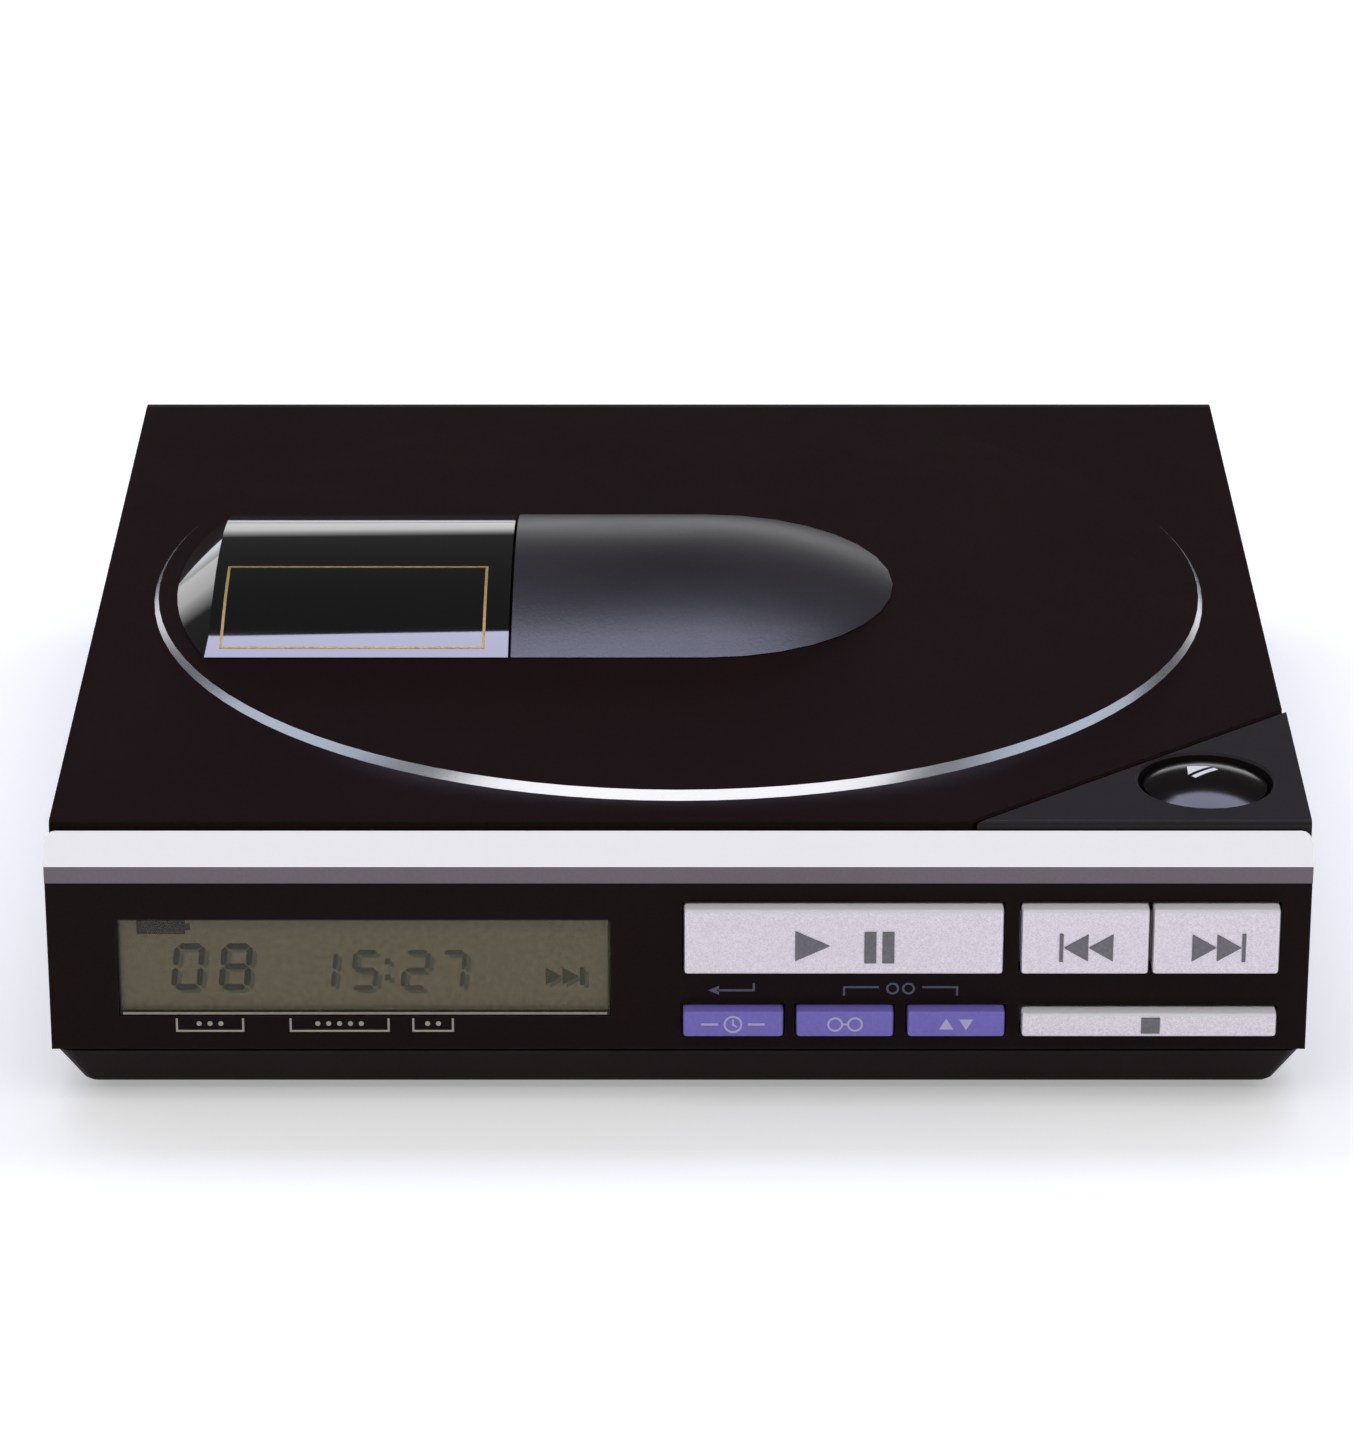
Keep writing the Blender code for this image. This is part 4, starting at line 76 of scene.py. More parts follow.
def boxPoints(left, low, right, high):
    return [(left, low), (right, low), (right, high), (left, high)]


def trianglePoints(left, low, right, high):
    # A triangle with its tip at the right
    return [(left, low), (right, (low + high) / 2), (left, high)]


def shifted(points, dx, dy):
    return [(x + dx, y + dy) for x, y in points]


def addFilled(bm, points):
    bm.faces.new([bm.verts.new((x, y, 0)) for x, y in points])


def addLine(bm, points, width, closed=False):
    # A drawn line of even width with mitred corners
    count = len(points)
    left, right = [], []
    for i, point in enumerate(points):
        here = Vector(point)
        before = Vector(points[i - 1]) if closed or i else None
        after = Vector(points[(i + 1) % count]) if closed or i < count - 1 else None
        dirIn = (here - before).normalized() if before is not None else (after - here).normalized()
        dirOut = (after - here).normalized() if after is not None else dirIn
        mid = (dirIn + dirOut).normalized()
        side = Vector((-mid.y, mid.x)) * (width / 2 / max(mid.dot(dirOut), marks["narrowestMitre"]))
        left.append(bm.verts.new((*(here + side), 0)))
        right.append(bm.verts.new((*(here - side), 0)))
    for i in range(count if closed else count - 1):
        j = (i + 1) % count
        bm.faces.new([left[i], right[i], right[j], left[j]])


def thicken(bm, height):
    # Turns the flat mark into a closed plate from 0 to height
    bmesh.ops.recalc_face_normals(bm, faces=bm.faces)
    for face in bm.faces:
        if face.normal.z > 0:
            face.normal_flip()
    made = bmesh.ops.extrude_face_region(bm, geom=bm.faces[:])
    top = [v for v in made["geom"] if isinstance(v, bmesh.types.BMVert)]
    bmesh.ops.translate(bm, verts=top, vec=(0, 0, height))
    bmesh.ops.recalc_face_normals(bm, faces=bm.faces)


def dressed(name, bm, material, body, bevel=0.0):
    # Makes the piece, gives it its finish and edges, and lets it ride on its body
    mesh = bpy.data.meshes.new(name)
    bm.to_mesh(mesh)
    bm.free()
    mesh.materials.append(material)
    piece = bpy.data.objects.new(name, mesh)
    bpy.context.scene.collection.objects.link(piece)
    if bevel:
        rounding = piece.modifiers.new("edges", "BEVEL")
        rounding.width = bevel
        rounding.segments = marks["bevelSegments"]
        rounding.limit_method = "ANGLE"
        rounding.angle_limit = math.radians(marks["bevelTurn"])
        rounding.harden_normals = True
    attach(piece, body)
    return piece


def mark(name, shapes, face, level, material, body,
         height=marks["height"], sink=marks["sink"], bevel=0.0):
    # Flat printed or raised shapes on a plane: sizes in millimetres, level is the plane's distance
    across, up, out = faces[face]
    bm = bmesh.new()
    drawShapes(bm, shapes)
    thicken(bm, height + sink)
    for vert in bm.verts:
        u, v, w = vert.co
        vert.co = (across * u + up * v + out * (level - sink + w)) * mm
    bmesh.ops.recalc_face_normals(bm, faces=bm.faces)
    return dressed(name, bm, material, body, bevel * mm)


def drawShapes(bm, shapes):
    for shape in shapes:
        if shape[0] == "fill":
            addFilled(bm, shape[1])
        else:
            addLine(bm, shape[1], shape[2], closed=shape[0] == "loop")


def surfaceOf(nodeName):
    bm = bmesh.new()
    bm.from_mesh(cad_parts[nodeName].data)
    tree = BVHTree.FromBMesh(bm)
    bm.free()
    return tree


def longEdges(bm, step):
    return [edge for edge in bm.edges if edge.calc_length() > step]


def draped(name, shapes, nodeName, material, body):
    # A print that lies on a curved top face: cut fine, then dropped on the surface below
    tree = surfaceOf(nodeName)
    above = 2 * cadBox[1].z
    bm = bmesh.new()
    drawShapes(bm, shapes)
    while longEdges(bm, marks["drapedStep"]):
        bmesh.ops.subdivide_edges(bm, edges=longEdges(bm, marks["drapedStep"]), cuts=1, use_grid_fill=True)
    bmesh.ops.triangulate(bm, faces=[face for face in bm.faces if len(face.verts) > 4])
    thicken(bm, 1.0)
    for vert in bm.verts:
        hit = tree.ray_cast(Vector((vert.co.x * mm, vert.co.y * mm, above)), -faces["top"][2])[0]
        lift = marks["height"] if vert.co.z > 0.5 else -marks["drapedSink"]
        vert.co = (vert.co.x * mm, vert.co.y * mm, hit.z + lift * mm)
    return dressed(name, bm, material, body)


# Shader groups that several finishes share
def newGroup(name, inputs, outputs):
    group = bpy.data.node_groups.new(name, "ShaderNodeTree")
    for label, kind, value in inputs:
        socket = group.interface.new_socket(name=label, in_out="INPUT", socket_type=kind)
        socket.default_value = value
    for label, kind in outputs:
        group.interface.new_socket(name=label, in_out="OUTPUT", socket_type=kind)
    inside = group.nodes.new("NodeGroupInput")
    outside = group.nodes.new("NodeGroupOutput")
    return group, inside, outside


def wire(tree, kind, values=None, **links):
    # Adds a node, sets its options and plain socket values, and links the named sockets
    node = tree.nodes.new(kind)
    for key, value in (values or {}).items():
        if isinstance(key, int) or key in node.inputs:
            node.inputs[key].default_value = value
        else:
            setattr(node, key, value)
    for key, source in links.items():
        target = key.replace("_", " ")
        numbered = target[0] == "i" and target[1:].isdigit()
        tree.links.new(source, node.inputs[int(target[1:]) if numbered else target])
    return node


def buildGrain():
    # Fine moulded or sprayed grain: even speckle with a height for bump
    group, inside, outside = newGroup(
        "fineGrain",
        [("Scale", "NodeSocketFloat", 2500.0), ("Contrast", "NodeSocketFloat", 0.5)],
        [("Speckle", "NodeSocketFloat"), ("Height", "NodeSocketFloat")])
    place = wire(group, "ShaderNodeTexCoord")
    noise = wire(group, "ShaderNodeTexNoise", {"Detail": 3.0, "Roughness": 0.65},
                 Vector=place.outputs["Object"], Scale=inside.outputs["Scale"])
    centred = wire(group, "ShaderNodeMath", {"operation": "SUBTRACT", 1: 0.5}, i0=noise.outputs["Fac"])
    strong = wire(group, "ShaderNodeMath", {"operation": "MULTIPLY"},
                  i0=centred.outputs[0], i1=inside.outputs["Contrast"])
    speckle = wire(group, "ShaderNodeMath", {"operation": "ADD", "use_clamp": True, 1: 0.5},
                   i0=strong.outputs[0])
    group.links.new(speckle.outputs[0], outside.inputs["Speckle"])
    group.links.new(noise.outputs["Fac"], outside.inputs["Height"])
    return group


def buildFlakes():
    # Metal flakes in a paint: each cell takes its own brightness
    group, inside, outside = newGroup(
        "paintFlakes", [("Scale", "NodeSocketFloat", 3500.0)],
        [("Flake", "NodeSocketFloat"), ("Height", "NodeSocketFloat")])
    place = wire(group, "ShaderNodeTexCoord")
    cells = wire(group, "ShaderNodeTexVoronoi", {}, Vector=place.outputs["Object"],
                 Scale=inside.outputs["Scale"])
    split = wire(group, "ShaderNodeSeparateColor", {}, Color=cells.outputs["Color"])
    group.links.new(split.outputs[0], outside.inputs["Flake"])
    group.links.new(cells.outputs["Distance"], outside.inputs["Height"])
    return group


def buildHandling():
    # Soft uneven sheen from handling: broad smudges with faint streaks
    group, inside, outside = newGroup(
        "handlingSheen", [("Scale", "NodeSocketFloat", 40.0)], [("Smudge", "NodeSocketFloat")])
    place = wire(group, "ShaderNodeTexCoord")
    broad = wire(group, "ShaderNodeTexNoise", {"Detail": 4.0, "Roughness": 0.6, "Distortion": 0.4},
                 Vector=place.outputs["Object"], Scale=inside.outputs["Scale"])
    eased = wire(group, "ShaderNodeMapRange", {"From Min": 0.35, "From Max": 0.7},
                 Value=broad.outputs["Fac"])
    group.links.new(eased.outputs[0], outside.inputs["Smudge"])
    return group


def buildEdgeWearAndHighlight():
    # Corners lighter where a rounded normal parts from the flat one: rubbed wear on the dark lid and case, a
    # painted edge highlight on the silver keys
    group, inside, outside = newGroup(
        "edgeWearAndHighlight", [("Radius", "NodeSocketFloat", 0.0003), ("Scale", "NodeSocketFloat", 900.0)],
        [("Mask", "NodeSocketFloat")])
    rounded = wire(group, "ShaderNodeBevel", {"samples": 4}, Radius=inside.outputs["Radius"])
    flat = wire(group, "ShaderNodeNewGeometry")
    parting = wire(group, "ShaderNodeVectorMath", {"operation": "DOT_PRODUCT"},
                   i0=rounded.outputs[0], i1=flat.outputs["Normal"])
    edge = wire(group, "ShaderNodeMapRange", {"From Min": 0.995, "From Max": 0.85},
                Value=parting.outputs["Value"])
    place = wire(group, "ShaderNodeTexCoord")
    broken = wire(group, "ShaderNodeTexNoise", {"Detail": 2.0},
                  Vector=place.outputs["Object"], Scale=inside.outputs["Scale"])
    eased = wire(group, "ShaderNodeMapRange", {"From Min": 0.3, "From Max": 0.65},
                 Value=broken.outputs["Fac"])
    mask = wire(group, "ShaderNodeMath", {"operation": "MULTIPLY", "use_clamp": True},
                i0=edge.outputs[0], i1=eased.outputs[0])
    group.links.new(mask.outputs[0], outside.inputs["Mask"])
    return group


def buildSoftShading():
    # Joins the corners that faces share, shades smooth and keeps edges over the angle sharp
    group = bpy.data.node_groups.new("softShading", "GeometryNodeTree")
    group.interface.new_socket(name="Geometry", in_out="INPUT", socket_type="NodeSocketGeometry")
    group.interface.new_socket(name="Geometry", in_out="OUTPUT", socket_type="NodeSocketGeometry")
    inside = group.nodes.new("NodeGroupInput")
    outside = group.nodes.new("NodeGroupOutput")
    merged = wire(group, "GeometryNodeMergeByDistance", {"Distance": 0.000001}, i0=inside.outputs[0])
    smooth = wire(group, "GeometryNodeSetShadeSmooth", {"domain": "FACE"}, i0=merged.outputs[0])
    bend = wire(group, "GeometryNodeInputMeshEdgeAngle")
    steep = wire(group, "FunctionNodeCompare", {"operation": "GREATER_THAN", 1: math.radians(32)},
                 i0=bend.outputs["Unsigned Angle"])
    crisp = wire(group, "GeometryNodeSetShadeSmooth", {"domain": "EDGE", "Shade Smooth": False},
                 i0=smooth.outputs[0], i1=steep.outputs[0])
    group.links.new(crisp.outputs[0], outside.inputs[0])
    return group


softGroup = buildSoftShading()
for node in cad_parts.values():
    node.modifiers.new("soft shading", "NODES").node_group = softGroup
    weighted = node.modifiers.new("flat faces lead", "WEIGHTED_NORMAL")
    weighted.keep_sharp = True
grainGroup = buildGrain()
flakeGroup = buildFlakes()
handlingGroup = buildHandling()
edgeWearAndHighlightGroup = buildEdgeWearAndHighlight()
print("shader groups built")


# Finishes
def useGroup(tree, group, **values):
    node = tree.nodes.new("ShaderNodeGroup")
    node.node_tree = group
    for key, value in values.items():
        node.inputs[key].default_value = value
    return node


def finish(name, look):
    # One finish from its table: colours, gloss, and how strongly grain, flakes, handling and edges show
    material = bpy.data.materials.new(name)
    material.use_nodes = True
    tree = material.node_tree
    shader = tree.nodes["Principled BSDF"]
    for key, value in look.get("sockets", {}).items():
        shader.inputs[key].default_value = value
    colour = look["colour"]
    second = look["second"]
    if look.get("flakes"):
        speckle = useGroup(tree, flakeGroup, Scale=look["flakes"])
        speckleOut, heightOut = speckle.outputs["Flake"], speckle.outputs["Height"]
    else:
        speckle = useGroup(tree, grainGroup, Scale=look["grain"], Contrast=look["contrast"])
        speckleOut, heightOut = speckle.outputs["Speckle"], speckle.outputs["Height"]
    mix = wire(tree, "ShaderNodeMix", {"data_type": "RGBA"}, Factor=speckleOut)
    mix.inputs[6].default_value = (*colour, 1)
    mix.inputs[7].default_value = (*second, 1)
    colourOut = mix.outputs[2]
    if look.get("wearAndHighlight"):
        edges = useGroup(tree, edgeWearAndHighlightGroup, Radius=look.get("wearAndHighlightRadius", 0.00025))
        amount = wire(tree, "ShaderNodeMath", {"operation": "MULTIPLY", 1: look["wearAndHighlight"]}, i0=edges.outputs[0])
        wearAndHighlightMix = wire(tree, "ShaderNodeMix", {"data_type": "RGBA"}, Factor=amount.outputs[0])
        tree.links.new(colourOut, wearAndHighlightMix.inputs[6])
        wearAndHighlightMix.inputs[7].default_value = (*look["wearAndHighlightColour"], 1)
        colourOut = wearAndHighlightMix.outputs[2]
    tree.links.new(colourOut, shader.inputs["Base Color"])
    low, high = look["roughness"]
    sheen = useGroup(tree, handlingGroup, Scale=40.0)
    rough = wire(tree, "ShaderNodeMapRange", {"To Min": low, "To Max": high}, Value=sheen.outputs[0])
    tree.links.new(rough.outputs[0], shader.inputs["Roughness"])
    if look.get("bump"):
        depth = look.get("depth", 0.00003)
        bump = wire(tree, "ShaderNodeBump", {"Strength": look["bump"], "Distance": depth}, Height=heightOut)
        tree.links.new(bump.outputs[0], shader.inputs["Normal"])
    return material


finishes = {
    "lidPaint": {"colour": (0.0080, 0.0030, 0.0030), "second": (0.0150, 0.0065, 0.0062), "grain": 3000.0,
                 "contrast": 1.5, "roughness": (0.46, 0.54), "bump": 0.2,
                 "wearAndHighlight": 0.2, "wearAndHighlightColour": (0.07, 0.06, 0.065),
                 "sockets": {"Specular IOR Level": 0.03}},
    "casePlastic": {"colour": (0.0088, 0.0042, 0.0042), "second": (0.0140, 0.0075, 0.0075), "grain": 3000.0,
                    "contrast": 1.4, "roughness": (0.40, 0.50), "bump": 0.2,
                    "wearAndHighlight": 0.22, "wearAndHighlightColour": (0.08, 0.07, 0.075),
                    "sockets": {"Specular IOR Level": 0.05}},
    "deckPlastic": {"colour": (0.0095, 0.0062, 0.0062), "second": (0.018, 0.012, 0.012), "grain": 2200.0,
                    "contrast": 1.4, "roughness": (0.45, 0.56), "bump": 0.35,
                    "sockets": {"Specular IOR Level": 0.25}},
    "matteBlack": {"colour": (0.010, 0.0095, 0.0095), "second": (0.020, 0.019, 0.019), "grain": 1800.0,
                   "contrast": 1.5, "roughness": (0.6, 0.72), "bump": 0.4,
                   "sockets": {"Specular IOR Level": 0.3}},
    # The trim's two finishes are one silver in two lights: a near-white copy as painted highlight on the
    # faces that tilt up, a dark violet-grey copy as painted shade on the upright faces
    "trimPaintedHighlight": {"colour": (0.84, 0.83, 0.86), "second": (0.91, 0.90, 0.92), "grain": 4000.0,
                     "contrast": 0.6, "roughness": (0.16, 0.22), "bump": 0.05,
                     "sockets": {"Metallic": 0.4}},
    "trimPaintedShade": {"colour": (0.140, 0.112, 0.132), "second": (0.19, 0.155, 0.18), "grain": 3600.0,
                  "contrast": 1.2, "roughness": (0.36, 0.46), "bump": 0.12,
                  "sockets": {"Metallic": 0.5}},
    "brightEdge": {"colour": (0.80, 0.81, 0.85), "second": (0.88, 0.88, 0.92), "grain": 4000.0,
                   "contrast": 0.5, "roughness": (0.20, 0.26), "bump": 0.04,
                   "sockets": {"Metallic": 0.9}},
    # The strong near-white edge lightening of the silver keys is a painted edge highlight
    "silverPaint": {"colour": (0.76, 0.69, 0.75), "second": (0.95, 0.91, 0.95), "flakes": 9500.0,
                    "roughness": (0.32, 0.38), "bump": 0.08, "depth": 0.00002,
                    "wearAndHighlight": 0.9, "wearAndHighlightRadius": 0.0005, "wearAndHighlightColour": (0.93, 0.93, 0.95),
                    "sockets": {"Metallic": 0.35}},
    # A lighter copy of the key silver for the keys' upward faces: painted highlight
    "keyTopPaintedHighlight": {"colour": (0.88, 0.86, 0.89), "second": (0.95, 0.94, 0.96), "grain": 4200.0,
                 "contrast": 1.0, "roughness": (0.28, 0.34), "sockets": {"Specular IOR Level": 0.5}},
    "violetPlastic": {"colour": (0.195, 0.150, 0.55), "second": (0.26, 0.21, 0.69), "grain": 2600.0,
                      "contrast": 1.2, "roughness": (0.38, 0.48), "bump": 0.15,
                      "wearAndHighlight": 0.35, "wearAndHighlightColour": (0.34, 0.32, 0.62), "sockets": {"Specular IOR Level": 0.4}},
    "smokedWindow": {"colour": (0.0035, 0.0025, 0.0026), "second": (0.005, 0.004, 0.004), "grain": 900.0,
                     "contrast": 0.6, "roughness": (0.035, 0.06),
                     "sockets": {"Specular IOR Level": 0.8, "Coat Weight": 1.0, "Coat Roughness": 0.03}},
    "glossBlack": {"colour": (0.0045, 0.003, 0.003), "second": (0.0065, 0.0045, 0.0045), "grain": 1800.0,
                   "contrast": 0.8, "roughness": (0.12, 0.18), "sockets": {"Specular IOR Level": 0.5}},
    # A pale tone for the display's lower edge: painted highlight
    "paintedEdgeHighlight": {"colour": (0.20, 0.17, 0.14), "second": (0.42, 0.36, 0.30), "grain": 3400.0,
                 "contrast": 1.2, "roughness": (0.3, 0.4), "sockets": {"Metallic": 0.3}},
    "bulgePlastic": {"colour": (0.007, 0.0048, 0.0052), "second": (0.022, 0.018, 0.021), "grain": 2400.0,
                     "contrast": 2.2, "roughness": (0.30, 0.37), "bump": 0.5,
                     "sockets": {"Specular IOR Level": 0.8}},
    "displayField": {"colour": (0.150, 0.118, 0.062), "second": (0.225, 0.182, 0.104), "grain": 1700.0,
                     "contrast": 2.4, "roughness": (0.36, 0.44), "bump": 0.05,
                     "sockets": {"Specular IOR Level": 0.3}},
    "liquidSegments": {"colour": (0.011, 0.009, 0.006), "second": (0.019, 0.016, 0.011), "grain": 2600.0,
                       "contrast": 1.0, "roughness": (0.35, 0.4), "sockets": {"Specular IOR Level": 0.2}},
    "faintSegments": {"colour": (0.040, 0.034, 0.020), "second": (0.054, 0.046, 0.028), "grain": 2600.0,
                      "contrast": 1.0, "roughness": (0.35, 0.4), "sockets": {"Specular IOR Level": 0.2}},
    "segmentShade": {"colour": (0.088, 0.089, 0.056), "second": (0.100, 0.101, 0.064), "grain": 1800.0,
                     "contrast": 1.0, "roughness": (0.4, 0.45), "sockets": {"Specular IOR Level": 0.2}},
    "clearPlate": {"colour": (0.20, 0.20, 0.14), "second": (0.22, 0.22, 0.16), "grain": 900.0,
                   "contrast": 0.5, "roughness": (0.06, 0.1), "sockets": {"Alpha": 0.10}},
    "creamInk": {"colour": (0.40, 0.37, 0.28), "second": (0.50, 0.47, 0.37), "grain": 3800.0,
                 "contrast": 1.2, "roughness": (0.5, 0.6), "bump": 0.1},
    "slateInk": {"colour": (0.075, 0.085, 0.15), "second": (0.105, 0.118, 0.20), "grain": 3800.0,
                 "contrast": 1.2, "roughness": (0.5, 0.6), "bump": 0.1},
    "paleInk": {"colour": (0.50, 0.47, 0.70), "second": (0.62, 0.60, 0.80), "grain": 3800.0,
                "contrast": 1.2, "roughness": (0.5, 0.6), "bump": 0.1},
    "whiteInk": {"colour": (0.72, 0.72, 0.72), "second": (0.82, 0.82, 0.82), "grain": 3800.0,
                 "contrast": 1.0, "roughness": (0.45, 0.55), "bump": 0.1},
    "goldInk": {"colour": (0.36, 0.24, 0.075), "second": (0.55, 0.38, 0.13), "flakes": 5200.0,
                "roughness": (0.35, 0.45), "sockets": {"Metallic": 0.35}},
    "symbolGrey": {"colour": (0.125, 0.118, 0.130), "second": (0.22, 0.21, 0.23), "grain": 3000.0,
                   "contrast": 1.4, "roughness": (0.35, 0.45), "bump": 0.1,
                   "sockets": {"Metallic": 0.3}},
    "circuitGreen": {"colour": (0.012, 0.070, 0.032), "second": (0.022, 0.11, 0.05), "grain": 500.0,
                     "contrast": 1.8, "roughness": (0.35, 0.5), "bump": 0.2},
    "turnedSteel": {"colour": (0.42, 0.42, 0.43), "second": (0.55, 0.55, 0.56), "grain": 3000.0,
                    "contrast": 1.2, "roughness": (0.24, 0.34), "bump": 0.1, "sockets": {"Metallic": 1.0}},
    "zincSheet": {"colour": (0.45, 0.46, 0.45), "second": (0.60, 0.61, 0.58), "grain": 420.0,
                  "contrast": 1.6, "roughness": (0.34, 0.48), "bump": 0.12, "sockets": {"Metallic": 1.0}},
    "motorCan": {"colour": (0.42, 0.42, 0.42), "second": (0.53, 0.53, 0.52), "grain": 2400.0,
                 "contrast": 1.2, "roughness": (0.28, 0.40), "bump": 0.12, "sockets": {"Metallic": 0.95}},
    "softRubber": {"colour": (0.014, 0.014, 0.014), "second": (0.026, 0.026, 0.026), "grain": 1500.0,
                   "contrast": 1.5, "roughness": (0.72, 0.85), "bump": 0.5,
                   "sockets": {"Specular IOR Level": 0.3}},
    "whiteNylon": {"colour": (0.62, 0.60, 0.54), "second": (0.72, 0.70, 0.64), "grain": 1600.0,
                   "contrast": 1.0, "roughness": (0.38, 0.48), "bump": 0.15,
                   "sockets": {"Subsurface Weight": 0.05, "Subsurface Scale": 0.001}},
    "pickupGrey": {"colour": (0.045, 0.045, 0.050), "second": (0.075, 0.075, 0.082), "grain": 2000.0,
                   "contrast": 1.4, "roughness": (0.4, 0.5), "bump": 0.3},
    "lensGlass": {"colour": (0.03, 0.035, 0.12), "second": (0.05, 0.05, 0.17), "grain": 600.0,
                  "contrast": 0.8, "roughness": (0.03, 0.06), "sockets": {"Coat Weight": 0.8}},
    "brassWorn": {"colour": (0.50, 0.34, 0.12), "second": (0.66, 0.48, 0.20), "grain": 2600.0,
                  "contrast": 1.2, "roughness": (0.26, 0.36), "bump": 0.1, "sockets": {"Metallic": 1.0}},
}
made = {name: finish(name, look) for name, look in finishes.items()}
print("finishes made:", len(made))


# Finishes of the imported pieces
wornBy = {
    "lidPaint": ["lid_cover"],
    "casePlastic": ["bottom_case", "front_panel"],
    "glossBlack": ["open_button"],
    "deckPlastic": ["top_deck"],
    "matteBlack": ["disc_tray", "clamp_holder", "volume_wheel", "headphone_jack", "line_out_jack", "dc_jack"],
    "trimPaintedHighlight": ["front_trim"],
    "silverPaint": ["play_pause_key", "previous_key", "next_key", "stop_key"],
    "violetPlastic": ["remain_key", "play_mode_key", "key_mode_key"],
    "smokedWindow": ["lid_window"],
    "bulgePlastic": ["lid_bulge"],
    "displayField": ["display_module"],
    "clearPlate": ["display_window"],
    "circuitGreen": ["main_board", "key_board"],
    "turnedSteel": ["guide_shaft_front", "guide_shaft_rear", "hinge_pin_left", "hinge_pin_right",
                    "spindle_shaft", "volume_pot", "case_screw_front_left", "case_screw_front_right",
                    "case_screw_rear_left", "case_screw_rear_right"],
    "zincSheet": ["mech_plate", "latch_plate"],
    "motorCan": ["spindle_motor", "sled_motor", "turntable"],
    "softRubber": ["foot_front_left", "foot_front_right", "foot_rear_left", "foot_rear_right",
                   "damper_front_left", "damper_front_right", "damper_rear"],
    "whiteNylon": ["clamp_puck", "latch_slider", "sled_rack", "drive_gear"],
    "pickupGrey": ["pickup_sled"],
    "lensGlass": ["objective_lens"],
    "brassWorn": ["motor_pinion"],
}
for finishName, nodeNames in wornBy.items():
    for nodeName in nodeNames:
        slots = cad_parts[nodeName].data.materials
        slots.clear()
        slots.append(made[finishName])


def paintFaces(nodeName, material, chosen):
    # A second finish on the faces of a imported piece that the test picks
    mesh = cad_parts[nodeName].data
    mesh.materials.append(material)
    index = len(mesh.materials) - 1
    count = 0
    for polygon in mesh.polygons:
        if chosen(polygon.center / mm, polygon.normal):
            polygon.material_index = index
            count += 1
    print(nodeName, "faces in", material.name, count)


discRing = {"inner": 55.5, "outer": 59.5, "lowTilt": 0.5, "highTilt": 0.9, "low": 30.35}
upwardTilt = 0.3


def onDiscRing(centre, normal):
    radius = math.hypot(centre.x, centre.y)
    return (discRing["inner"] < radius < discRing["outer"] and centre.z > discRing["low"]
            and discRing["lowTilt"] < normal.z < discRing["highTilt"])


paintFaces("lid_cover", made["brightEdge"], onDiscRing)
# The trim's upright faces take the dark copy of its silver (painted shade); the faces that tilt up keep the
# near-white copy (painted highlight)
paintFaces("front_trim", made["trimPaintedShade"], lambda centre, normal: normal.z < upwardTilt)
# The keys' upward faces take a lighter copy of their silver: painted highlight
for key in wornBy["silverPaint"]:
    paintFaces(key, made["keyTopPaintedHighlight"], lambda centre, normal: normal.z > upwardTilt)
print("packed pieces finished")


# Display: numbers, pictograms and their soft shade, behind the clear plate
display = {"digitLean": 0.11, "segmentGap": 0.10, "height": 0.06, "shadeHeight": 0.02,
           "shadeDrop": (0.42, -0.36)}
bigNumber = {"width": 2.55, "high": 4.55, "low": 12.85, "stroke": 0.62,
             "digits": (("0", -50.95), ("8", -46.15))}
smallNumber = {"width": 2.25, "high": 3.95, "low": 12.75, "stroke": 0.48,
               "digits": (("1", -37.15), ("5", -32.95), ("2", -27.85), ("7", -24.15))}
colon = {"left": -29.6, "lows": (13.6, 15.4), "width": 0.55, "high": 0.6}
battery = {"body": (-54.5, 18.75, -49.6, 20.35), "tip": (-49.6, 19.2, -49.1, 19.9)}
search = {"low": 13.1, "high": 15.0, "arrowLefts": (-13.4, -11.7), "arrowLong": 1.6, "bar": (-9.95, -9.45)}
segmentsOf = {"0": "abcdef", "1": "bc", "2": "abged", "3": "abgcd", "4": "fgbc", "5": "afgcd",
              "6": "afgedc", "7": "abc", "8": "abcdefg", "9": "abcdfg"}


def segmentShapes(digit, left, number):
    # Seven bars with pointed ends, leaning a little to the right
    width, high, low = number["width"], number["high"], number["low"]
    half = high / 2
    mid = {"a": ((0, high), (width, high)), "g": ((0, half), (width, half)), "d": ((0, 0), (width, 0)),
           "f": ((0, high), (0, half)), "b": ((width, high), (width, half)),
           "e": ((0, half), (0, 0)), "c": ((width, half), (width, 0))}
    shapes = []
    for letter in segmentsOf[digit]:
        start, end = (Vector(p) for p in mid[letter])
        along = (end - start).normalized()
        side = Vector((-along.y, along.x)) * number["stroke"] / 2
        start = start + along * display["segmentGap"]
        end = end - along * display["segmentGap"]
        tip = along * number["stroke"] / 2
        points = [start, start + tip + side, end - tip + side, end, end - tip - side, start + tip - side]
        shapes.append(("fill", [(left + p.x + display["digitLean"] * p.y, low + p.y) for p in points]))
    return shapes


def numberShapes(number):
    return [shape for digit, left in number["digits"] for shape in segmentShapes(digit, left, number)]


displayFace = -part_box("display_module")[0].y / mm
bigShapes = numberShapes(bigNumber)
smallShapes = numberShapes(smallNumber)
colonRight = colon["left"] + colon["width"]
for low in colon["lows"]:
    smallShapes.append(("fill", boxPoints(colon["left"], low, colonRight, low + colon["high"])))
batterySign = [("fill", boxPoints(*battery[piece])) for piece in ("body", "tip")]
searchSign = [("fill", trianglePoints(left, search["low"], left + search["arrowLong"], search["high"]))
              for left in search["arrowLefts"]]
searchSign.append(("fill", boxPoints(search["bar"][0], search["low"], search["bar"][1], search["high"])))


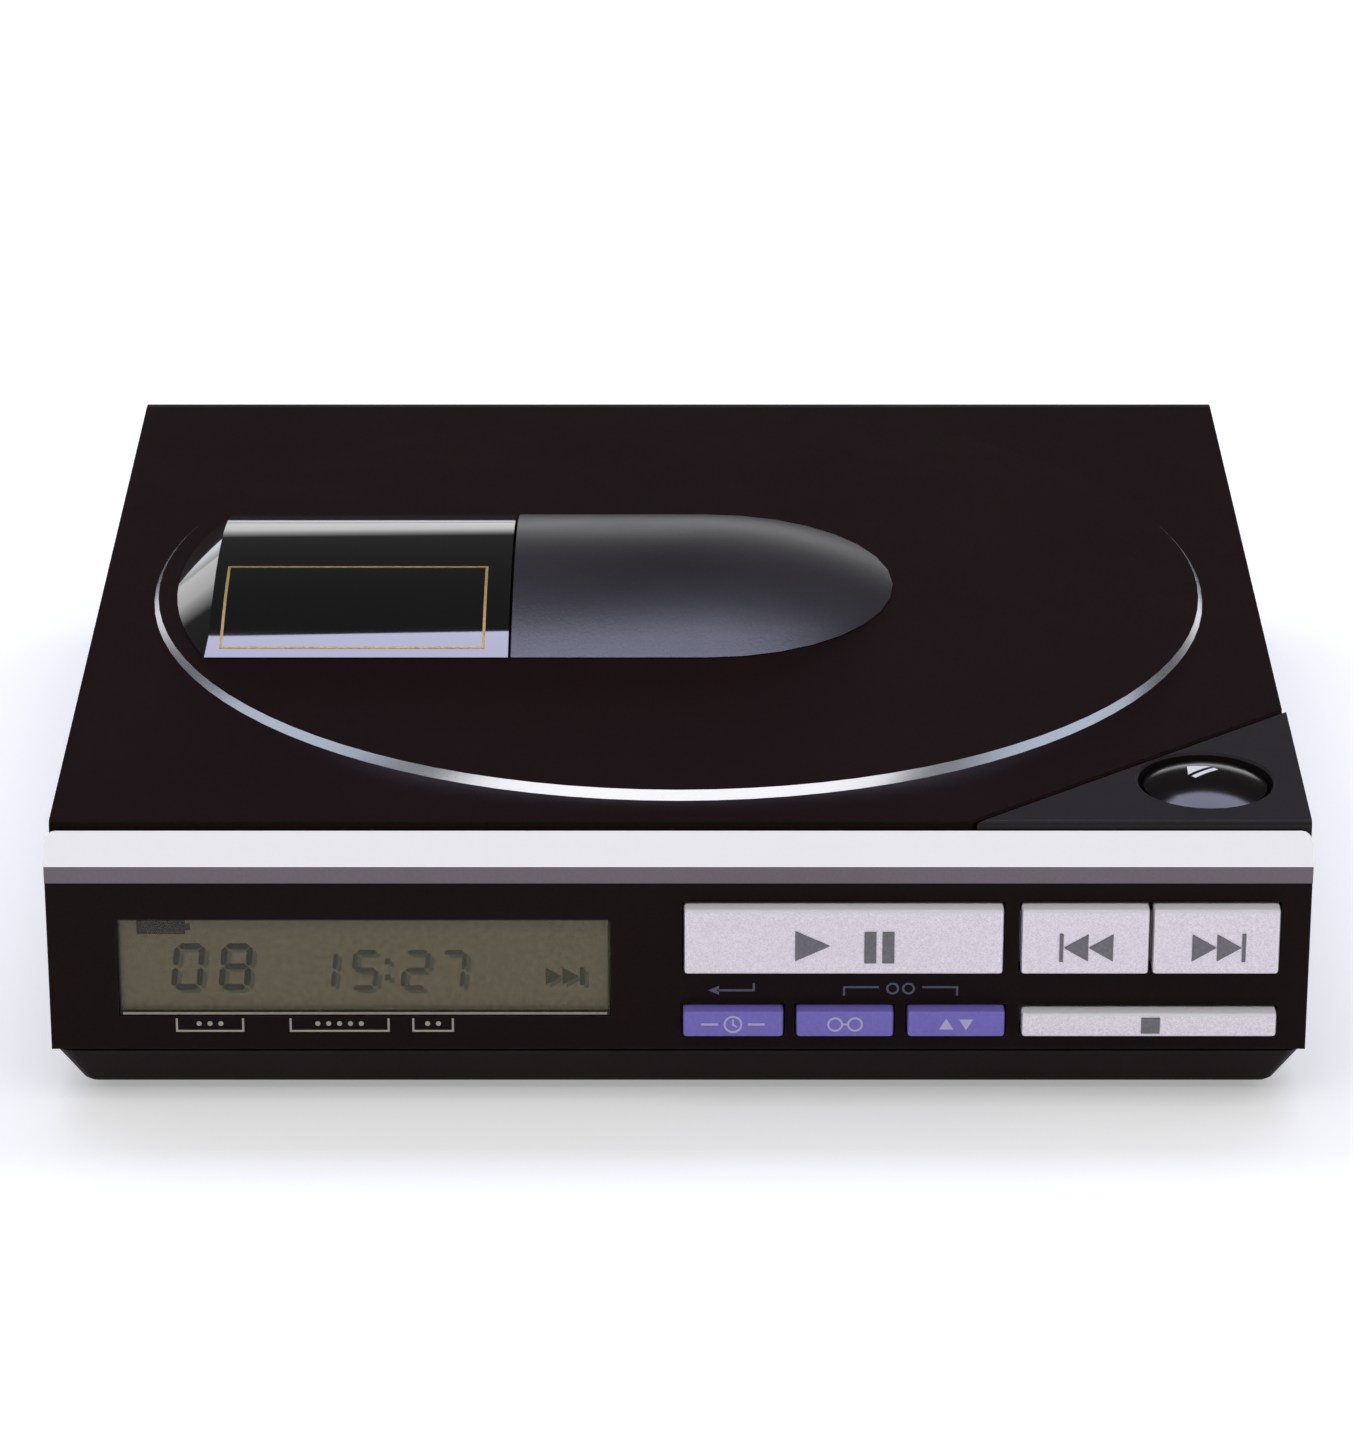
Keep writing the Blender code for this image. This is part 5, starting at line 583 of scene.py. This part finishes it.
def displayMark(name, shapes, finishName, level, height):
    return mark(name, shapes, "front", level, made[finishName], "case", height)


shadeShapes = [("fill", shifted(points, *display["shadeDrop"]))
               for kind, points in bigShapes + smallShapes + searchSign]
displayMark("number_shade", shadeShapes, "segmentShade", displayFace, display["shadeHeight"])
for name, shapes, finishName in (
        ("track_number", bigShapes, "liquidSegments"), ("time_number", smallShapes, "faintSegments"),
        ("battery_sign", batterySign, "liquidSegments"), ("search_sign", searchSign, "faintSegments")):
    displayMark(name, shapes, finishName, displayFace + display["shadeHeight"], display["height"])
print("display written")


# Printing on the front panel
panelFace = -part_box("front_panel")[0].y / mm
strokes = {"bold": 0.22, "plain": 0.2, "fine": 0.18}
captions = {"low": 8.35, "high": 9.75, "dotStep": 1.1, "dotRadius": 0.26, "dotLift": 0.12, "dotSides": 12,
            "places": ((-50.7, -44.0, 3), (-39.2, -29.3, 5), (-26.8, -22.8, 2))}
enter = {"stem": [(7.6, 13.7), (7.6, 12.9), (3.9, 12.9)], "head": [(3.0, 12.9), (4.1, 13.4), (4.1, 12.4)]}
mode = {"brackets": ([(16.7, 12.3), (16.7, 13.25), (20.2, 13.25)],
                     [(24.6, 13.25), (28.1, 13.25), (28.1, 12.3)]),
        "rings": ((21.6, 13.1), (23.2, 13.1)), "ringRadius": 0.55, "ringSides": 18}
edgeHighlight = {"inset": 0.3, "low": 0.05, "high": 0.3}


def bracketShapes(left, right, dots):
    # A bracket under a group of numbers, with dots at its middle
    low, high = captions["low"], captions["high"]
    shapes = [("line", [(left, high), (left, low), (right, low), (right, high)], strokes["plain"])]
    middle = (left + right) / 2
    dotLevel = (low + high) / 2 + captions["dotLift"]
    for i in range(dots):
        place = (middle + (i - (dots - 1) / 2) * captions["dotStep"], dotLevel)
        shapes.append(("fill", circlePoints(place, captions["dotRadius"], captions["dotSides"])))
    return shapes


captionShapes = [shape for place in captions["places"] for shape in bracketShapes(*place)]
enterShapes = [("line", enter["stem"], strokes["bold"]), ("fill", enter["head"])]
modeShapes = [("line", bracket, strokes["plain"]) for bracket in mode["brackets"]]
modeShapes += [("loop", circlePoints(ring, mode["ringRadius"], mode["ringSides"]), strokes["plain"])
               for ring in mode["rings"]]
for name, shapes, ink in (
        ("number_brackets", captionShapes, "creamInk"), ("enter_sign", enterShapes, "slateInk"),
        ("mode_bracket", modeShapes, "slateInk")):
    mark(name, shapes, "front", panelFace, made[ink], "case")

# A thin pale bar along the display's lower edge: a painted highlight where the edge would catch the light
glassLow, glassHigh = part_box("display_window")
edgeHighlightShape = boxPoints(glassLow.x / mm + edgeHighlight["inset"], glassLow.z / mm + edgeHighlight["low"],
                      glassHigh.x / mm - edgeHighlight["inset"], glassLow.z / mm + edgeHighlight["high"])
mark("display_painted_highlight", [("fill", edgeHighlightShape)], "front", -glassLow.y / mm, made["paintedEdgeHighlight"],
     "case")
print("front panel printed")


# Signs on the keys
keySigns = {"proud": 0.14, "sink": 0.02, "edge": 0.05, "play": (11.7, 16.83, 15.2, 20.16),
            "pauseBars": ((18.64, 16.6, 19.85, 20.05), (20.45, 16.6, 21.66, 20.05)),
            "previousBar": (38.2, 16.75, 38.6, 19.85), "nextBar": (56.5, 16.75, 56.9, 19.85),
            "previousArrows": ((41.1, 16.8, 38.65, 19.8), (43.6, 16.8, 41.15, 19.8)),
            "nextArrows": ((51.5, 16.8, 53.95, 19.8), (54.0, 16.8, 56.45, 19.8)),
            "stop": (46.65, 8.75, 48.55, 10.5)}
playShapes = [("fill", trianglePoints(*keySigns["play"]))]
pauseShapes = [("fill", boxPoints(*bar)) for bar in keySigns["pauseBars"]]
previousShapes = [("fill", boxPoints(*keySigns["previousBar"]))]
previousShapes += [("fill", trianglePoints(*arrow)[::-1]) for arrow in keySigns["previousArrows"]]
nextShapes = [("fill", trianglePoints(*arrow)) for arrow in keySigns["nextArrows"]]
nextShapes.append(("fill", boxPoints(*keySigns["nextBar"])))
stopShapes = [("fill", boxPoints(*keySigns["stop"]))]
for name, key, shapes in (
        ("play_sign", "play_pause_key", playShapes), ("pause_sign", "play_pause_key", pauseShapes),
        ("previous_sign", "previous_key", previousShapes), ("next_sign", "next_key", nextShapes),
        ("stop_sign", "stop_key", stopShapes)):
    level = -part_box(key)[0].y / mm
    mark(name, shapes, "front", level, made["symbolGrey"], key,
         keySigns["proud"], keySigns["sink"], keySigns["edge"])

clock = {"place": (5.5, 9.75), "radius": 0.85, "sides": 24, "hands": [(5.5, 10.3), (5.5, 9.7), (5.9, 9.45)],
         "dashes": ([(2.3, 9.75), (4.0, 9.75)], [(7.0, 9.75), (8.7, 9.75)])}
loops = {"places": ((15.8, 9.75), (17.8, 9.75)), "radius": 0.7, "sides": 20,
         "link": [(16.6, 9.75), (17.0, 9.75)]}
steps = {"up": [(26.3, 9.2), (27.7, 9.2), (27.0, 10.4)], "down": [(28.3, 10.3), (29.7, 10.3), (29.0, 9.1)]}
clockShapes = [("loop", circlePoints(clock["place"], clock["radius"], clock["sides"]), strokes["plain"]),
               ("line", clock["hands"], strokes["fine"])]
clockShapes += [("line", dash, strokes["bold"]) for dash in clock["dashes"]]
loopShapes = [("loop", circlePoints(place, loops["radius"], loops["sides"]), strokes["plain"])
              for place in loops["places"]]
loopShapes.append(("line", loops["link"], strokes["plain"]))
stepShapes = [("fill", steps["up"]), ("fill", steps["down"])]
for name, key, shapes in (
        ("clock_sign", "remain_key", clockShapes), ("repeat_sign", "play_mode_key", loopShapes),
        ("step_sign", "key_mode_key", stepShapes)):
    level = -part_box(key)[0].y / mm
    mark(name, shapes, "front", level, made["paleInk"], key)
print("keys signed")


# Printing on the lid window and the open button
windowPrint = {"corners": (-48.8, -19.9, -20.8, -4.66), "line": 0.3}
windowShapes = [("loop", boxPoints(*windowPrint["corners"]), windowPrint["line"])]
draped("window_frame_line", windowShapes, "lid_window", made["goldInk"], "lid")

openSign = {"place": (53.0, -51.3), "half": 1.6, "rise": 1.8, "barLow": -1.1, "barHigh": -0.5, "turn": 40}


def turned(points, place, degrees):
    # Turns points about zero, then moves them to their place
    across, up = math.cos(math.radians(degrees)), math.sin(math.radians(degrees))
    return [(place[0] + across * x - up * y, place[1] + up * x + across * y) for x, y in points]


openArrow = [(-openSign["half"], 0), (openSign["half"], 0), (0, openSign["rise"])]
openBar = boxPoints(-openSign["half"], openSign["barLow"], openSign["half"], openSign["barHigh"])
openShapes = [("fill", turned(points, openSign["place"], openSign["turn"]))
              for points in (openArrow, openBar)]
draped("open_sign", openShapes, "open_button", made["whiteInk"], "open_button")
print("lid and button printed")


# Signs beside the sockets and the volume wheel, on the right side and the rear
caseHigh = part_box("bottom_case")[1] / mm
headphone = {"place": (-12.0, 17.3), "radius": 1.15, "sides": 16,
             "cups": ((-13.4, 16.4, -12.85, 17.4), (-11.15, 16.4, -10.6, 17.4))}
wedge = {"corners": [(-31.0, 16.3), (-21.0, 16.3), (-21.0, 17.6)]}
lineOut = {"place": (-28.0, 17.4), "radius": 0.85, "sides": 20, "stem": [(-28.0, 17.4), (-25.2, 17.4)],
           "head": [(-25.3, 17.0), (-24.5, 17.4), (-25.3, 17.8)]}
power = {"place": (-43.0, 17.5), "radius": 0.8, "sides": 20, "dotRadius": 0.3, "dotSides": 12,
         "dashes": ([(-46.4, 17.5), (-45.2, 17.5)], [(-40.8, 17.5), (-39.6, 17.5)],
                    [(-40.2, 16.9), (-40.2, 18.1)])}


def socketSigns():
    arc = circlePoints(headphone["place"], headphone["radius"], headphone["sides"], 0, math.pi)
    headphoneShapes = [("line", arc, strokes["bold"])]
    headphoneShapes += [("fill", boxPoints(*cup)) for cup in headphone["cups"]]
    wedgeShapes = [("fill", wedge["corners"])]
    ring = circlePoints(lineOut["place"], lineOut["radius"], lineOut["sides"])
    lineShapes = [("loop", ring, strokes["plain"]), ("line", lineOut["stem"], strokes["plain"]),
                  ("fill", lineOut["head"])]
    powerShapes = [("loop", circlePoints(power["place"], power["radius"], power["sides"]), strokes["plain"]),
                   ("fill", circlePoints(power["place"], power["dotRadius"], power["dotSides"]))]
    powerShapes += [("line", dash, strokes["bold"]) for dash in power["dashes"]]
    for name, shapes, face, level in (
            ("headphone_sign", headphoneShapes, "right", caseHigh.x),
            ("volume_wedge", wedgeShapes, "right", caseHigh.x),
            ("line_out_sign", lineShapes, "rear", caseHigh.y),
            ("power_sign", powerShapes, "rear", caseHigh.y)):
        mark(name, shapes, face, level, made["creamInk"], "case")


socketSigns()
print("side and rear signs printed")


# Studio: floor, world, lamps and camera
studio = {"floorSize": 6.0, "floorColour": (0.82, 0.82, 0.82, 1), "floorLift": 0.34, "floorDrop": 0.00005,
          "worldLight": 0.36, "backdropTop": 0.10, "ceilingFrom": 0.20, "ceiling": 0.05,
          "camera": (0.0, -0.60544, 0.27472), "tilt": 66.882, "lens": 149.76, "sensor": 36.0,
          "nearest": 0.01, "shift": (-0.00135, -0.0058)}


def seenRays(tree):
    # One for camera, glossy and transmission rays, which see the plain white background
    paths = wire(tree, "ShaderNodeLightPath")
    first = wire(tree, "ShaderNodeMath", {"operation": "MAXIMUM"},
                 i0=paths.outputs["Is Camera Ray"], i1=paths.outputs["Is Glossy Ray"])
    return wire(tree, "ShaderNodeMath", {"operation": "MAXIMUM"},
                i0=first.outputs[0], i1=paths.outputs["Is Transmission Ray"]).outputs[0]


def buildWorld():
    world = bpy.data.worlds.new("studioWorld")
    world.use_nodes = True
    tree = world.node_tree
    tree.nodes.clear()
    light = wire(tree, "ShaderNodeBackground", {"Color": (1, 1, 1, 1), "Strength": studio["worldLight"]})
    # What shines sees a white backdrop up to a low height, and a dark ceiling above it
    way = wire(tree, "ShaderNodeTexCoord")
    height = wire(tree, "ShaderNodeSeparateXYZ", {}, i0=way.outputs["Generated"])
    fade = wire(tree, "ShaderNodeMapRange",
                {"From Min": studio["backdropTop"], "From Max": studio["ceilingFrom"], "To Min": 1.0,
                 "To Max": studio["ceiling"]}, Value=height.outputs["Z"])
    seen = wire(tree, "ShaderNodeBackground", {"Color": (1, 1, 1, 1)}, Strength=fade.outputs[0])
    mix = wire(tree, "ShaderNodeMixShader", {}, i0=seenRays(tree), i1=light.outputs[0], i2=seen.outputs[0])
    wire(tree, "ShaderNodeOutputWorld", {}, Surface=mix.outputs[0])
    bpy.context.scene.world = world


def buildFloor():
    bm = bmesh.new()
    bmesh.ops.create_grid(bm, x_segments=2, y_segments=2, size=studio["floorSize"] / 2)
    mesh = bpy.data.meshes.new("studio_floor")
    bm.to_mesh(mesh)
    bm.free()
    floor = bpy.data.objects.new("studio_floor", mesh)
    bpy.context.scene.collection.objects.link(floor)
    floor.location.z = -studio["floorDrop"]
    material = bpy.data.materials.new("paperFloor")
    material.use_nodes = True
    tree = material.node_tree
    tree.nodes.clear()
    paper = wire(tree, "ShaderNodeBsdfDiffuse", {"Color": studio["floorColour"]})
    lift = wire(tree, "ShaderNodeMath", {"operation": "MULTIPLY", 1: studio["floorLift"]}, i0=seenRays(tree))
    glow = wire(tree, "ShaderNodeEmission", {"Color": (1, 1, 1, 1)}, Strength=lift.outputs[0])
    both = wire(tree, "ShaderNodeAddShader", {}, i0=paper.outputs[0], i1=glow.outputs[0])
    wire(tree, "ShaderNodeOutputMaterial", {}, Surface=both.outputs[0])
    mesh.materials.append(material)


lamps = {
    "rearStrip": {"place": (0.0, 0.31, 0.74), "size": (0.95, 0.24), "glow": 4.8, "colour": (0.70, 0.72, 1.0)},
    "frontSoftbox": {"place": (0.0, -0.42, 0.80), "size": (1.1, 0.6), "glow": 1.15,
                     "colour": (1.0, 0.99, 1.0)},
    "leftSoftbox": {"place": (-0.74, 0.18, 0.65), "size": (0.5, 0.7), "glow": 0.6,
                    "colour": (0.72, 0.84, 1.0)},
    "rightSoftbox": {"place": (0.74, 0.18, 0.65), "size": (0.5, 0.7), "glow": 0.6,
                     "colour": (0.72, 0.84, 1.0)},
}


def buildLamps():
    for name, lamp in lamps.items():
        data = bpy.data.lights.new(name, "AREA")
        data.shape = "RECTANGLE"
        data.size, data.size_y = lamp["size"]
        data.energy = lamp["glow"] * math.pi * data.size * data.size_y
        data.color = lamp["colour"]
        lampObject = bpy.data.objects.new(name, data)
        bpy.context.scene.collection.objects.link(lampObject)
        lampObject.location = lamp["place"]
        lampObject.rotation_euler = (-Vector(lamp["place"])).to_track_quat("-Z", "Y").to_euler()


def buildCamera():
    data = bpy.data.cameras.new("photoCamera")
    data.lens = studio["lens"]
    data.sensor_width = studio["sensor"]
    data.shift_x, data.shift_y = studio["shift"]
    data.clip_start = studio["nearest"]
    camera = bpy.data.objects.new("photoCamera", data)
    bpy.context.scene.collection.objects.link(camera)
    camera.location = studio["camera"]
    camera.rotation_euler = (math.radians(studio["tilt"]), 0, 0)
    bpy.context.scene.camera = camera


buildWorld()
buildFloor()
buildLamps()
buildCamera()
bpy.context.scene.view_settings.view_transform = "Standard"
print("studio ready")
